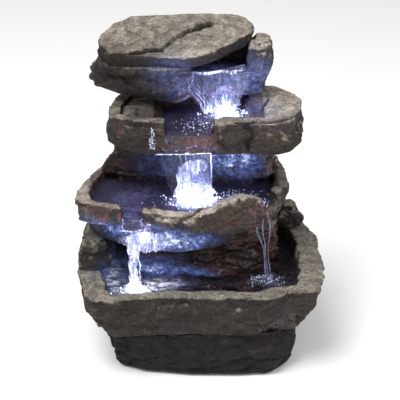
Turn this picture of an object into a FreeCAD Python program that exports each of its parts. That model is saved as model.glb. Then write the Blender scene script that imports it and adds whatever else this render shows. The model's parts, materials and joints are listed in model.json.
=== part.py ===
"""Tabletop rock fountain: a cascade of cast stone tiers over a reservoir, with its pump, hose and lights.

The stones are castings of resin and stone dust, stacked on a flat back and glued: a pedestal, a basin, a
grotto wall that stands in the basin, a drip ledge, and three tiers with a neck between each pair, under a
capstone.  The grotto wall and the ledge enclose a service chamber, closed at the rear by a pull-off door.
A small pump stands in the basin's sump and lifts water through a hose in a duct at the tower's core.
Three sealed lamps light the falls, and their leads run down the duct to a splice box in the chamber.

Frame: +Z up, +X to the viewer's right, the falls face -Y.  Origin: centre of the footprint, on the table.
All values are millimetres and degrees.
"""

import FreeCAD
import Part
import math
import os

V = FreeCAD.Vector
UP = V(0, 0, 1)

# ---------------------------------------------------------------- driving sizes: stones
basin_width = 203.0
basin_depth = 169.0
basin_bottom_z = 40.0
rim_height = 80.0
rim_side = 20.0
rim_front = 15.0
rim_back = 17.0
floor_wall = 6.0

foot_height = 2.5
foot_radius = 6.0
base_plate_thickness = 3.0
pedestal_width = 158.0
pedestal_beyond_sump = 14.0
pedestal_shift_x = 2.0
pedestal_wall = 13.0
pedestal_back_wall = 8.0
pedestal_foot_side = 6.0
pedestal_foot_front = 3.0

tower_back_y = 63.0
channel_gap = 15.0
grotto_front_y = -33.5
grotto_wall = 7.0
strata_depth = 7.0
ledge_bottom_z = 106.0
ledge_thickness = 18.0
ledge_within_basin = 45.0
ledge_depth = 120.0
ledge_shift_x = -13.0

lower_tier_width = 171.0
lower_tier_depth = 120.0
lower_tier_shift_x = -13.5
lower_floor_above_bottom = 8.0
lower_rim_above_bottom = 19.5
lower_neck_top_z = 178.0
neck_step = 0.5
neck_wall = 8.0
hose_clearance = 0.5

middle_tier_width = 157.0
middle_tier_depth = 88.0
middle_tier_shift_x = 4.5
middle_floor_above_bottom = 18.0
middle_rim_above_bottom = 30.0
upper_rock_bottom_z = 212.0
upper_lip_above_bottom = 19.0
upper_floor_above_bottom = 14.0
cap_seat_z = 244.0
cap_thickness = 12.0
cap_width = 123.0
cap_depth = 70.0
cap_slope = 0.2
side_rock_height = 25.0
upper_neck_back_y = 43.8

rim_wall = 11.0
stone_chip = 1.3
seat_gap = 0.4

# ---------------------------------------------------------------- driving sizes: water path
duct_x = 12.0
duct_y = 36.0
duct_width = 34.0
hose_outer = 12.0
hose_bore = 9.1
nozzle_outer = 9.0
nozzle_bore = 6.5
left_spout_x = -52.0
left_spout_width = 15.0
right_spout_x = 54.0
right_spout_width = 15.0
right_spout_turn = 38.0
spout_above_floor = 4.0
middle_spout_x = -8.5
middle_spout_width = 35.0
upper_spout_left_x = -6.0
upper_pool_front_y = 18.0
pool_behind_hose = 3.0

# ---------------------------------------------------------------- driving sizes: pump
pump_length = 32.0
pump_width = 32.0
pump_height = 34.0
pump_corner = 3.0
nozzle_setback = 5.0
nozzle_rise = 13.0
cup_height = 4.0
cup_radius = 5.0
volute_cover_thickness = 2.5
intake_length = 14.5
intake_wall = 1.8
intake_travel = 12.0
chamber_radius = 11.5
chamber_depth = 9.0
well_radius = 6.6
well_depth = 18.0
rotor_gap = 0.4
shaft_radius = 1.0
shaft_clearance = 0.05
bush_radius = 3.0
bush_length = 2.5
dial_radius = 6.5
dial_thickness = 3.0
sump_clearance = 3.0
sump_wall = 3.0
sump_depth = 32.0

# ---------------------------------------------------------------- driving sizes: lamps and fittings
lamp_radius = 5.0
lamp_length = 12.0
lamp_clearance = 0.2
seal_height = 1.6
seal_width = 2.2
lead_radius = 1.1
lead_bend = 4.5
groove_clearance = 1.5
groove_depth = 10.0
upper_lamp = (18.0, 13.0)
middle_lamp = (-6.0, -20.0)
lower_lamp_x = -43.0
lower_lamp_drop = 8.0
arch_radius = 8.0
splice_x0 = -46.0
splice_y0 = 10.0
splice_length = 26.0
splice_width = 12.0
splice_height = 14.0
door_width = 52.0
door_offset = 17.0
door_height = 35.0
door_thickness = 5.0
door_gap = 0.5
door_sill_above_rim = 4.0
gland_bore = 8.0
gland_flange = 2.0
gland_lip = 4.0
gland_sleeve = 1.9
screw_head_radius = 3.2
screw_shank_radius = 1.6
screw_length = 12.0
boss_radius = 5.0
boss_height = 14.0
base_screw_spacing = 56.0

# ---------------------------------------------------------------- outlines, as seen from above
# Each is only a shape: fit_outline scales it to the named width and depth.
basin_shape = [
    (-86, -84.5), (-46, -80), (-10, -78), (24, -79), (54, -80.5), (68, -71), (94, -69), (101.5, -40),
    (100, 0), (101, 27), (88, 54), (77, 80), (36, 84.5), (-20, 84.5), (-58, 82), (-84, 62),
    (-98, 28), (-101.5, -8), (-99, -38), (-91, -75),
]
pedestal_shape = [
    (-66, -55), (-45, -65), (-10, -68), (30, -69), (60, -66), (74, -52), (79, -20), (78, 25),
    (66, 66), (30, 69), (-30, 69), (-62, 64), (-73, 25), (-73, -25),
]
grotto_shape = [
    (-60, -22), (-40, -30), (-14, -26), (8, -31), (34, -26), (52, -16), (64, 4), (65, 26),
    (58, 46), (48, 63), (10, 63), (-35, 63), (-50, 52), (-62, 24), (-66, -4),
]
ledge_shape = [
    (-92, -14), (-84, -27), (-68, -41), (-50, -51), (-34, -55), (-16, -57), (2, -53), (18, -43),
    (38, -40), (54, -28), (64, -6), (66, 32), (60, 63), (0, 63), (-50, 62), (-74, 46), (-88, 16),
]
lower_shape = [
    (-99, -36), (-88, -46), (-64, -54), (-42, -54), (-24, -59), (-6, -60), (12, -55), (27, -50),
    (42, -45), (56, -34), (66, -22), (72, -2), (72, 26), (64, 54), (20, 60), (-30, 60), (-70, 52),
    (-86, 24), (-97, -6),
]
lower_rim_lift = [1, 0.5, 1, 0, -2, -3, 2, 8, 6, -1, 1, 0, 0, 0, 0, 0, 0, 0, 0]
lower_skirt_drop = [1, 2, 3, 3, 2, 0, -3, -6, -6, -3, 0, 2, 2, 2, 2, 2, 2, 2, 1]
lower_neck_shape = [
    (-80, 14), (-58, 4), (-30, 7), (0, 3), (28, 6), (50, 0), (60, 14), (59, 34), (50, 48), (0, 49),
    (-50, 48), (-72, 38),
]
middle_shape = [
    (-72, -22), (-52, -32), (-26, -36), (9, -34), (38, -32), (60, -34), (72, -27), (82, -6),
    (83, 18), (76, 32), (62, 46), (36, 51), (-20, 52), (-54, 44), (-68, 26), (-74, 0),
]
middle_rim_share = [1.1, 1.1, 1.1, 1.1, 1.3, 1.9, 2.4, 2.8, 2.6, 2.0, 1.3, 1, 1, 1, 1.2, 1.2]
upper_neck_shape = [
    (-42, 27), (-20, 23), (10, 24), (33, 25), (37, 32), (33, 44), (-28, 44), (-42, 35),
]
upper_bottom_shape = [
    (-66, 17), (-40, 3), (-15, -5), (-6, 9), (16, 13), (38, 12), (50, 18), (54, 32), (46, 48),
    (0, 53), (-48, 50), (-70, 34),
]
upper_belly_shape = [
    (-82, 4), (-46, -8), (-16, -10), (-5, 10), (16, 12), (40, 11), (53, 18), (57, 33), (50, 50),
    (0, 54), (-58, 52), (-89, 22),
]
upper_top_shape = [
    (-74, -6), (-50, -9), (-20, -12), (-6, -9), (14, 4), (30, 9), (40, 20), (42, 34), (38, 48),
    (0, 52), (-56, 49), (-79, 18),
]
cap_shape = [
    (-80, 17), (-78, 2), (-70, -8), (-52, -10), (-26, -14), (-12, -15), (0, -12), (14, -5),
    (30, 8), (42, 22), (43, 38), (37, 49), (26, 54), (0, 55), (-56, 50), (-67, 40), (-75, 27),
]
side_rock_shape = [
    (37, 13), (48, 10), (56, 17), (58.5, 32), (54, 41.5), (37, 41.5),
]
shoulder_shape = [(-99, -36), (-86, -39), (-72, -34), (-69, -8), (-72, 24), (-84, 34), (-97, 24), (-100, -6)]
chock_shape = [(67.5, 36), (78, 33), (88, 40), (86, 54), (74, 62), (68, 56)]


foot_corners = (0, 4, 8, 11)


# ---------------------------------------------------------------- small tools
def fit_outline(shape, width=None, depth=None, x_centre=None, y_back=None, y_centre=None):
    """The outline scaled to a width and a depth and set at a centre, or with its rearmost point on y_back."""
    xs, ys = [p[0] for p in shape], [p[1] for p in shape]
    own_width, own_depth = max(xs) - min(xs), max(ys) - min(ys)
    own_x, own_y = (max(xs) + min(xs)) / 2, (max(ys) + min(ys)) / 2
    kx = (width or own_width) / own_width
    ky = (depth or own_depth) / own_depth
    x0 = own_x if x_centre is None else x_centre
    y0 = own_y if y_centre is None else y_centre
    if y_back is not None:
        y0 = y_back - own_depth * ky / 2
    return [(x0 + (x - own_x) * kx, y0 + (y - own_y) * ky) for x, y in shape]


def chip(index, key):
    """A fixed irregular number between -1 and 1, the same on every run."""
    value = math.sin(index * 12.9898 + key * 78.233) * 43758.5453
    return 2 * (value - math.floor(value)) - 1


def ring(outline, z, side=0.0, front=0.0, back=None, key=None, share=None, shift=0.0):
    """One closed ring of points at z (a number, a list, or a function of x and y), drawn in from the outline
    by the margins side, front and back, and moved along X by shift.  A key roughens it by stone_chip."""
    xs, ys = [p[0] for p in outline], [p[1] for p in outline]
    cx, cy = (max(xs) + min(xs)) / 2, (max(ys) + min(ys)) / 2
    hx, hy = (max(xs) - min(xs)) / 2, (max(ys) - min(ys)) / 2
    back = front if back is None else back
    points = []
    for i, (x, y) in enumerate(outline):
        k = share[i] if share else 1.0
        px = cx + shift + (x - cx) * (1 - k * side / hx)
        py = cy + (y - cy) * (1 - (k * front if y < cy else k * back) / hy)
        if key is not None:
            px += stone_chip * chip(i, key)
            py += stone_chip * chip(i, key + 7)
        pz = z[i] if isinstance(z, list) else z(px, py) if callable(z) else z
        points.append(V(px, py, pz))
    return points


def stone(rings):
    """A faceted closed solid through the rings, from a flat polygon at the first to one at the last."""
    faces = [Part.Face(Part.makePolygon(r + [r[0]])) for r in (rings[0], rings[-1])]
    for k, (a, b) in enumerate(zip(rings, rings[1:])):
        count = len(a)
        for i in range(count):
            j = (i + 1) % count
            quad = (a[i], a[j], b[j], b[i])
            split = ((0, 1, 2), (0, 2, 3)) if (i + k) % 2 else ((0, 1, 3), (1, 2, 3))
            for corners in split:
                p = [quad[c] for c in corners]
                if (p[1] - p[0]).cross(p[2] - p[0]).Length > 1e-6:
                    faces.append(Part.Face(Part.makePolygon(p + [p[0]])))
    shell = Part.makeShell(faces)
    shell.sewShape()
    solid = Part.makeSolid(shell)
    return solid if solid.Volume > 0 else solid.reversed()


def block(x0, x1, y0, y1, z0, z1):
    return Part.makeBox(x1 - x0, y1 - y0, z1 - z0, V(x0, y0, z0))


def rounded_block(x0, x1, y0, y1, z0, z1, radius):
    """A block with its four upright edges rounded."""
    body = block(x0, x1, y0, y1, z0, z1)
    upright = [e for e in body.Edges if abs(e.tangentAt(e.FirstParameter).z) > 0.99]
    return body.makeFillet(radius, upright)


def rod(radius, length, base, axis=UP):
    return Part.makeCylinder(radius, length, base, axis)


def tube(outer, inner, length, base, axis=UP):
    return rod(outer, length, base, axis).cut(rod(inner, length, base, axis))


def cable(points, radius, bend):
    """A round cable along straight runs joined by arcs of the bend radius, or of what the shorter run allows."""
    edges, start, radii = [], points[0], []
    for a, b, c in zip(points, points[1:], points[2:]):
        u, w = (a - b).normalize(), (c - b).normalize()
        half = u.getAngle(w) / 2
        shorter = min(a.distanceToPoint(b), b.distanceToPoint(c))
        setback = min(bend / math.tan(half), 0.45 * shorter)
        radii.append(round(setback * math.tan(half), 2))
        enter, leave = b + u * setback, b + w * setback
        inward = (u + w).normalize()
        middle = b + inward * (setback / math.cos(half) - radii[-1])
        edges += [Part.LineSegment(start, enter).toShape(), Part.Arc(enter, middle, leave).toShape()]
        start = leave
    edges.append(Part.LineSegment(start, points[-1]).toShape())
    wire = Part.Wire(edges)
    profile = Part.Wire(Part.makeCircle(radius, points[0], points[1] - points[0]))
    solid = wire.makePipeShell([profile], True, False, 1)
    expected = math.pi * radius**2 * wire.Length
    print(f"cable: radii {radii}, volume {abs(solid.Volume) / expected:.3f} of section times length")
    return solid if solid.Volume > 0 else solid.reversed()


nodes = {}


def save(name, *shapes):
    """Keeps the sub-part under its node name, to be written at the end."""
    nodes[name] = shapes[0] if len(shapes) == 1 else Part.makeCompound(list(shapes))


# ---------------------------------------------------------------- places worked out from the sizes
ledge_top_z = ledge_bottom_z + ledge_thickness
lower_floor_z = ledge_top_z + lower_floor_above_bottom
lower_rim_z = ledge_top_z + lower_rim_above_bottom
middle_bottom_z = lower_neck_top_z
middle_floor_z = middle_bottom_z + middle_floor_above_bottom
middle_rim_z = middle_bottom_z + middle_rim_above_bottom
upper_lip_z = upper_rock_bottom_z + upper_lip_above_bottom
upper_floor_z = upper_rock_bottom_z + upper_floor_above_bottom
basin_floor_z = basin_bottom_z + floor_wall
ledge_width = basin_width - ledge_within_basin
duct_depth = hose_outer + 2 * hose_clearance
neck_back_wall = max(y for x, y in lower_neck_shape) - duct_y - duct_depth / 2
upper_pool_back_y = duct_y + hose_outer / 2 + pool_behind_hose
groove_width = 2 * lamp_radius + groove_clearance

pump_x0 = duct_x - nozzle_setback
pump_x1 = pump_x0 + pump_length
intake_x0 = pump_x0 - volute_cover_thickness - intake_length
sump_x0 = intake_x0 - dial_thickness - intake_travel - sump_clearance
sump_x1 = pump_x1 + sump_clearance
sump_y0 = duct_y - pump_width / 2 - sump_clearance
sump_y1 = duct_y + pump_width / 2 + sump_clearance
sump_floor_z = basin_floor_z - sump_depth
pump_z0 = sump_floor_z + cup_height
pump_z1 = pump_z0 + pump_height
pump_axis_z = pump_z0 + pump_height / 2
pedestal_depth = 2 * (sump_y1 + sump_wall + pedestal_beyond_sump)

grotto_width = basin_width - 2 * rim_side - 2 * channel_gap
chamber_x0 = -grotto_width / 2 + grotto_wall + strata_depth / 2
chamber_x1 = grotto_width / 2 - grotto_wall - strata_depth / 2
chamber_y0 = grotto_front_y + grotto_wall + strata_depth
chamber_y1 = tower_back_y - grotto_wall
door_x0 = duct_x - door_width / 2 - door_offset
door_z0 = rim_height + door_sill_above_rim
gland_x = door_x0 + door_width + gland_bore / 2 + gland_lip + 4.0
gland_z = door_z0 + 8.0


def duct(z0, z1):
    """The upright slot through the castings that holds the hose and the lamp leads."""
    return rounded_block(
        duct_x - duct_width / 2, duct_x + duct_width / 2,
        duct_y - duct_depth / 2, duct_y + duct_depth / 2, z0, z1, duct_depth / 2 - 0.5,
    )


def cap_plane(offset):
    """The height of the capstone's tilted seat, plus an offset, as a function of place."""
    return lambda x, y: cap_seat_z + offset + cap_slope * y


# ---------------------------------------------------------------- stones
def make_pedestal():
    outline = fit_outline(pedestal_shape, pedestal_width, pedestal_depth, pedestal_shift_x, y_centre=0.0)
    bottom_z = foot_height
    top_z = basin_bottom_z
    height = top_z - bottom_z
    body = stone([
        ring(outline, bottom_z, pedestal_foot_side, pedestal_foot_front, key=1),
        ring(outline, bottom_z + 0.12 * height, 2, 1, key=2),
        ring(outline, bottom_z + 0.6 * height, 0, 0, key=3),
        ring(outline, top_z - 0.1 * height, 1, 1, key=4),
        ring(outline, top_z, 4, 4, key=5),
    ])
    hollow_side = pedestal_foot_side + pedestal_wall
    hollow_front = pedestal_foot_front + pedestal_wall
    hollow_back = pedestal_foot_front + pedestal_back_wall
    inside = ring(outline, bottom_z - 1, hollow_side, hollow_front, hollow_back)
    hollow = Part.Face(Part.makePolygon(inside + [inside[0]])).extrude(V(0, 0, height + 2))
    plate_z = bottom_z + 1.0
    plate_ring = ring(outline, plate_z, hollow_side + seat_gap, hollow_front + seat_gap, hollow_back + seat_gap)
    plate = Part.Face(Part.makePolygon(plate_ring + [plate_ring[0]])).extrude(V(0, 0, base_plate_thickness))
    pedestal = body.cut(hollow)
    boss_z = plate_z + base_plate_thickness
    half_x = pedestal_width / 2 - hollow_side - boss_radius - 1.0
    corners = [(sx, half_x, sy * base_screw_spacing / 2) for sx in (-1, 1) for sy in (-1, 1)]
    screws = []
    for side, reach, y in corners:
        x = pedestal_shift_x + side * reach
        wall_x = x + side * (boss_radius + 8)
        arm = block(min(x, wall_x), max(x, wall_x), y - 3, y + 3, boss_z, boss_z + boss_height)
        boss = rod(boss_radius, boss_height, V(x, y, boss_z)).fuse(arm).common(body)
        pedestal = pedestal.fuse(boss)
        hole = rod(screw_shank_radius, screw_length, V(x, y, plate_z))
        plate = plate.cut(rod(screw_shank_radius + 0.2, base_plate_thickness, V(x, y, plate_z)))
        pedestal = pedestal.cut(hole)
        head = rod(screw_head_radius, 1.0, V(x, y, plate_z - 1.0)).cut(
            block(x - 0.4, x + 0.4, y - 2.4, y + 2.4, plate_z - 1.0, plate_z - 0.5))
        screws.append(head.fuse(hole).removeSplitter())
    save("pedestal", pedestal.removeSplitter())
    save("base_plate", plate)
    save("base_plate_screws", *screws)
    middle = ring(outline, 0, pedestal_foot_side + pedestal_wall / 2, pedestal_foot_front + pedestal_wall / 2)
    for k, index in enumerate(foot_corners):
        foot = Part.makeCone(foot_radius - 1, foot_radius, foot_height, middle[index])
        save(f"rubber_foot_{k + 1}", foot)


def make_basin():
    outline = fit_outline(basin_shape, basin_width, basin_depth, 0.0, y_centre=0.0)
    height = rim_height - basin_bottom_z
    body = stone([
        ring(outline, basin_bottom_z, 21, 11, 9, key=11),
        ring(outline, basin_bottom_z + 0.2 * height, 12, 7, 5, key=12),
        ring(outline, basin_bottom_z + 0.62 * height, 3, 2.5, 2, key=13),
        ring(outline, rim_height - 4, 1.5, 1.5, 1.5),
        ring(outline, rim_height),
        ring(outline, rim_height, rim_side, rim_front, rim_back),
        ring(outline, rim_height - 0.4 * height, rim_side + 3, rim_front + 2, rim_back + 1),
        ring(outline, basin_floor_z, rim_side + 7, rim_front + 6, rim_back + 2),
    ])
    sump_top_z = basin_floor_z
    outside = rounded_block(
        sump_x0 - sump_wall, sump_x1 + sump_wall, sump_y0 - sump_wall, sump_y1 + sump_wall,
        sump_floor_z - sump_wall, basin_bottom_z, 8.0)
    inside = rounded_block(sump_x0, sump_x1, sump_y0, sump_y1, sump_floor_z, sump_top_z + 1, 6.0)
    save("basin", body.fuse(outside).cut(inside).removeSplitter())
    return outline


def make_rim_stones():
    """The stone wing at the left that carries the ledge's end, and the chock at the right rear."""
    shift = -basin_width / 2
    wing = [(x + 101.5 + shift, y) for x, y in shoulder_shape]
    top = ledge_bottom_z
    low = rim_height
    save("left_shoulder_stone", stone([
        ring(wing, low, 1, 1),
        ring(wing, low + 0.25 * (top - low), 0, 0, key=21),
        ring(wing, low + 0.65 * (top - low), 4, 2, key=22),
        ring(wing, top, 8, 6, key=23),
    ]))
    half_grotto = grotto_width / 2
    chock = [(x - 67.5 + half_grotto + 1.5, y) for x, y in chock_shape]
    save("right_chock_stone", stone([
        ring(chock, low, 0.5, 0.5),
        ring(chock, low + 7, -1, -1, key=24),
        ring(chock, low + 15, 2, 2, key=25),
        ring(chock, low + 20, 5, 6, key=26),
    ]))


def grotto_outline():
    return fit_outline(grotto_shape, grotto_width, tower_back_y - grotto_front_y, 0.0, y_back=tower_back_y)


def service_cut(z0, z1):
    """The service chamber, a wall's thickness inside the deepest layer of the grotto wall."""
    corners = ring(grotto_outline(), z0, grotto_wall + strata_depth / 2, grotto_wall + strata_depth, grotto_wall)
    return Part.Face(Part.makePolygon(corners + [corners[0]])).extrude(V(0, 0, z1 - z0))


def door_cut():
    return block(door_x0, door_x0 + door_width, chamber_y1 - 5, tower_back_y + 5, door_z0, door_z0 + door_height)


def lamp_groove(x, y, z0, z1, y_end):
    """A channel for a lamp's lead, from the lamp back to y_end."""
    return block(x - groove_width / 2, x + groove_width / 2, y - groove_width / 2, y_end, z0, z1)


def make_grotto():
    """The wall behind the basin's pool, in worn layers, with arches at its foot that let water back to the pump."""
    outline = grotto_outline()
    low, top = basin_floor_z, ledge_bottom_z
    levels = [(0.0, 0.0), (0.16, -0.07), (0.24, 0.14), (0.27, 0.7), (0.38, 0.8), (0.42, 0.35), (0.54, 0.3),
              (0.58, 0.85), (0.76, 1.0), (0.8, 0.57), (0.95, 0.7), (1.0, 0.85)]
    rings = [ring(outline, low + f * (top - low), 0.4 * strata_depth * inset, strata_depth * inset, 0.0, key=30 + k)
             for k, (f, inset) in enumerate(levels)]
    for level in rings:
        for p in level:
            p.y = min(p.y, tower_back_y)
    body = stone(rings).cut(service_cut(low - 1, top + 1)).cut(door_cut())
    for x in (-34.0, -6.0, 24.0):
        reach = chamber_y0 + 26 - grotto_front_y
        arch = block(x - arch_radius, x + arch_radius, grotto_front_y - 12, grotto_front_y - 12 + reach,
                     low - 1, low + 6).fuse(
            rod(arch_radius, reach, V(x, grotto_front_y - 12, low + 6), V(0, 1, 0)))
        body = body.cut(arch)
    along = V(0, 1, 0)
    body = body.cut(rod(gland_bore / 2 + gland_sleeve + 0.1, 40, V(gland_x, chamber_y1 - 10, gland_z), along))
    save("grotto_wall", body.removeSplitter())
    base = V(gland_x, chamber_y1 - gland_flange, gland_z)
    length = grotto_wall + 2 * gland_flange
    sleeve = rod(gland_bore / 2 + gland_sleeve, length, base, along)
    inner = rod(gland_bore / 2 + gland_lip, gland_flange, base, along)
    outer = rod(gland_bore / 2 + gland_lip, gland_flange, V(gland_x, tower_back_y, gland_z), along)
    bore = rod(gland_bore / 2, length, base, along)
    save("cord_gland", sleeve.fuse([inner, outer]).cut(bore).removeSplitter())


def make_ledge():
    outline = fit_outline(ledge_shape, ledge_width, ledge_depth, ledge_shift_x, y_back=tower_back_y)
    low, top = ledge_bottom_z, ledge_top_z
    rings = [
        ring(outline, low, 9, 9, 0, key=41),
        ring(outline, low + 2, 1, 1, 0, key=42),
        ring(outline, low + 7, 0, 0.5, 0, key=43),
        ring(outline, top - 3, 4, 6, 0, key=44),
        ring(outline, top, 7, 10, 0, key=45),
    ]
    for level in rings:
        for p in level:
            p.y = min(p.y, tower_back_y)
    body = stone(rings).cut(service_cut(low - 1, top + 1)).cut(door_cut())
    mx, my = middle_lamp
    body = body.cut(lamp_groove(mx, my, top - groove_depth - 4, top + 1, chamber_y0 + 10))
    lamp_z = top - lower_lamp_drop
    lamp_y = lower_lamp_front_y()
    seat = rod(lamp_radius + lamp_clearance, 60, V(lower_lamp_x, lamp_y - 10, lamp_z), V(0, 1, 0))
    seat = seat.common(block(lower_lamp_x - 20, lower_lamp_x + 20, lamp_y - 10, lamp_y + lamp_length + 1, 0, 400))
    back = lamp_groove(lower_lamp_x, lamp_y + lamp_length + groove_width / 2, lamp_z - 4, top + 1, chamber_y0 + 10)
    save("drip_ledge", body.cut(seat).cut(back).removeSplitter())


def lower_lamp_front_y():
    """Where the lower lamp's front stands, just inside the ledge's face."""
    return tower_back_y - ledge_depth + 12.0


def make_lower_tier():
    outline = fit_outline(lower_shape, lower_tier_width, lower_tier_depth, lower_tier_shift_x, y_back=tower_back_y - 2)
    low = ledge_top_z
    skirt = [low + d for d in lower_skirt_drop]
    belly = [low + 0.5 * lower_rim_above_bottom + 0.5 * d for d in lower_rim_lift]
    rim = [lower_rim_z + d for d in lower_rim_lift]
    body = stone([
        ring(outline, low, 10, 12, 2, key=51),
        ring(outline, skirt, 3, 4, 1, key=52),
        ring(outline, belly, 0, 1, 0, key=53),
        ring(outline, rim, 1, 1, 0),
        ring(outline, rim, rim_wall, rim_wall, rim_wall - 1),
        ring(outline, lower_floor_z, rim_wall + 3, rim_wall + 3, rim_wall),
    ])
    spout_z = lower_floor_z + spout_above_floor
    front_y = tower_back_y - lower_tier_depth
    left = block(left_spout_x - left_spout_width / 2, left_spout_x + left_spout_width / 2,
                 front_y - 20, front_y + 2 * rim_wall + 8, spout_z, lower_rim_z + 20)
    right = block(-right_spout_width / 2, right_spout_width / 2, -30, 22, spout_z, lower_rim_z + 20)
    right.rotate(V(0, 0, 0), UP, right_spout_turn)
    right.translate(V(right_spout_x, front_y + 27, 0))
    mx, my = middle_lamp
    hole = rod(lamp_radius + lamp_clearance, 40, V(mx, my, low - 5))
    body = body.cut(left).cut(right).cut(hole).cut(duct(low - 1, lower_floor_z + 1))
    save("lower_tier", body.cut(nodes["drip_ledge"]).removeSplitter())


def make_lower_neck():
    outline = fit_outline(lower_neck_shape)
    low, top = lower_floor_z, lower_neck_top_z
    step = lower_rim_z + neck_step
    body = stone([
        ring(outline, low, 8, 4, 5),
        ring(outline, step - 0.5, 8, 4, 4.5),
        ring(outline, step + 1.5, -3, -2, -5, key=61, shift=2),
        ring(outline, step + 9, 0, -3, -6, key=62, shift=3),
        ring(outline, step + 20, 5, -1, -5, key=63, shift=3),
        ring(outline, top - 5, 9, 2, -4, key=64, shift=3),
        ring(outline, top, 10, 4, -3, key=65, shift=3),
    ])
    hollow = ring(outline, low - 1, 10 + neck_wall, 4 + neck_wall, neck_back_wall, shift=3)
    cavity = Part.Face(Part.makePolygon(hollow + [hollow[0]])).extrude(V(0, 0, top - low + 2))
    save("lower_neck", body.cut(cavity).removeSplitter())


def make_middle_tier():
    outline = fit_outline(middle_shape, middle_tier_width, middle_tier_depth, middle_tier_shift_x,
                          y_back=tower_back_y - 11)
    low = middle_bottom_z
    body = stone([
        ring(outline, low, 7, 8, 3, key=71, shift=4),
        ring(outline, low + 3, 3, 4, 1, key=72, shift=3),
        ring(outline, low + 11, -1, 0, 0, key=73),
        ring(outline, middle_rim_z - 3, 1, 0.5, 0, key=74),
        ring(outline, middle_rim_z, 2, 2, 1),
        ring(outline, middle_rim_z, rim_wall, rim_wall, 7, share=middle_rim_share),
        ring(outline, middle_floor_z, rim_wall + 2, rim_wall + 2, 8, share=middle_rim_share),
    ])
    front_y = tower_back_y - 11 - middle_tier_depth
    spout_z = middle_floor_z + 1.5
    spout = block(middle_spout_x - middle_spout_width / 2, middle_spout_x + middle_spout_width / 2,
                  front_y - 20, front_y + 2 * rim_wall + 6, spout_z, middle_rim_z + 20)
    ux, uy = upper_lamp
    hole = rod(lamp_radius + lamp_clearance, 40, V(ux, uy, low + groove_depth - 2))
    groove = lamp_groove(ux, uy, low - 1, low + groove_depth, duct_y)
    body = body.cut(spout).cut(hole).cut(groove).cut(duct(low - 1, middle_floor_z + 1))
    save("middle_tier", body.removeSplitter())


def make_upper_neck():
    outline = fit_outline(upper_neck_shape)
    low, top = middle_floor_z, upper_rock_bottom_z
    rings = [
        ring(outline, low),
        ring(outline, low + 0.5 * (top - low), -1, -1, 0, key=81),
        ring(outline, top, 1, 0, 0),
    ]
    for level in rings:
        for p in level:
            p.y = min(p.y, upper_neck_back_y)
    save("upper_neck", stone(rings).cut(duct(low - 1, top + 1)).cut(nodes["middle_tier"]).removeSplitter())


def make_upper_stones():
    low = upper_rock_bottom_z
    body = stone([
        ring(upper_bottom_shape, low, key=91),
        ring(upper_belly_shape, low + 11, 2, 1, key=92),
        ring(upper_belly_shape, low + 22, key=93),
        ring(upper_top_shape, cap_plane(-3.0), -1, -1),
        ring(upper_top_shape, cap_plane(0.0)),
    ])
    open_front = block(upper_spout_left_x, 90, -40, upper_pool_back_y - 3, upper_lip_z, cap_seat_z + 40)
    pool = rounded_block(upper_spout_left_x + 1, 41, upper_pool_front_y, upper_pool_back_y - 1,
                         upper_floor_z, upper_lip_z + 1, 3.0)
    body = body.cut(open_front).cut(pool)
    body = body.cut(rod(hose_outer / 2 + 0.3, 60, V(duct_x, duct_y, low - 1)))
    save("upper_rock", body.removeSplitter())
    outline = fit_outline(cap_shape, cap_width, cap_depth)
    cap_space = stone([
        ring(outline, cap_plane(-seat_gap), -seat_gap, -seat_gap),
        ring(outline, cap_plane(2 * cap_thickness), -seat_gap, -seat_gap),
    ])
    rise = side_rock_height
    save("upper_side_stone", stone([
        ring(side_rock_shape, upper_lip_z),
        ring(side_rock_shape, upper_lip_z + 0.3 * rise, -0.5, 0),
        ring(side_rock_shape, upper_lip_z + 0.75 * rise, 0.5, 1),
        ring(side_rock_shape, upper_lip_z + rise, 3, 5),
    ]).cut(cap_space))
    save("capstone", stone([
        ring(outline, cap_plane(0.0), 2.5, 2.5),
        ring(outline, cap_plane(0.35 * cap_thickness), 0, 0),
        ring(outline, cap_plane(0.75 * cap_thickness), 0, 0),
        ring(outline, cap_plane(cap_thickness), 1.2, 1.2),
    ]))


# ---------------------------------------------------------------- water path
def make_hose():
    bottom, top = pump_z1 + 1.0, upper_floor_z
    save("riser_hose", tube(hose_outer / 2, hose_bore / 2, top - bottom, V(duct_x, duct_y, bottom)))
    save("hose_clip", tube(hose_outer / 2 + 0.9, hose_outer / 2, 5.0, V(duct_x, duct_y, bottom + 3)).fuse(
        block(duct_x + hose_outer / 2 + 0.4, duct_x + hose_outer / 2 + 4, duct_y - 1.6, duct_y + 1.6,
              bottom + 4, bottom + 7)).removeSplitter())
    centre = V(duct_x, duct_y, upper_floor_z)
    mouth = V(0, -1, 0)
    spigot = rod(nozzle_outer / 2, 10, V(duct_x, duct_y, upper_floor_z - 10))
    flange = rod(hose_outer / 2 + 1.8, 1.8, centre)
    riser = rod(nozzle_outer / 2 + 0.5, 9.0, centre)
    elbow_z = upper_floor_z + 7.0
    arm = rod(nozzle_outer / 2 - 0.4, 9.5, V(duct_x, duct_y, elbow_z), mouth)
    solid = spigot.fuse([flange, riser, arm])
    bore = rod(nozzle_bore / 2, 17, V(duct_x, duct_y, upper_floor_z - 10))
    outlet = rod(nozzle_bore / 2 - 0.2, 12, V(duct_x, duct_y, elbow_z), mouth)
    save("outlet_elbow", solid.cut(bore).cut(outlet).removeSplitter())


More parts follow.
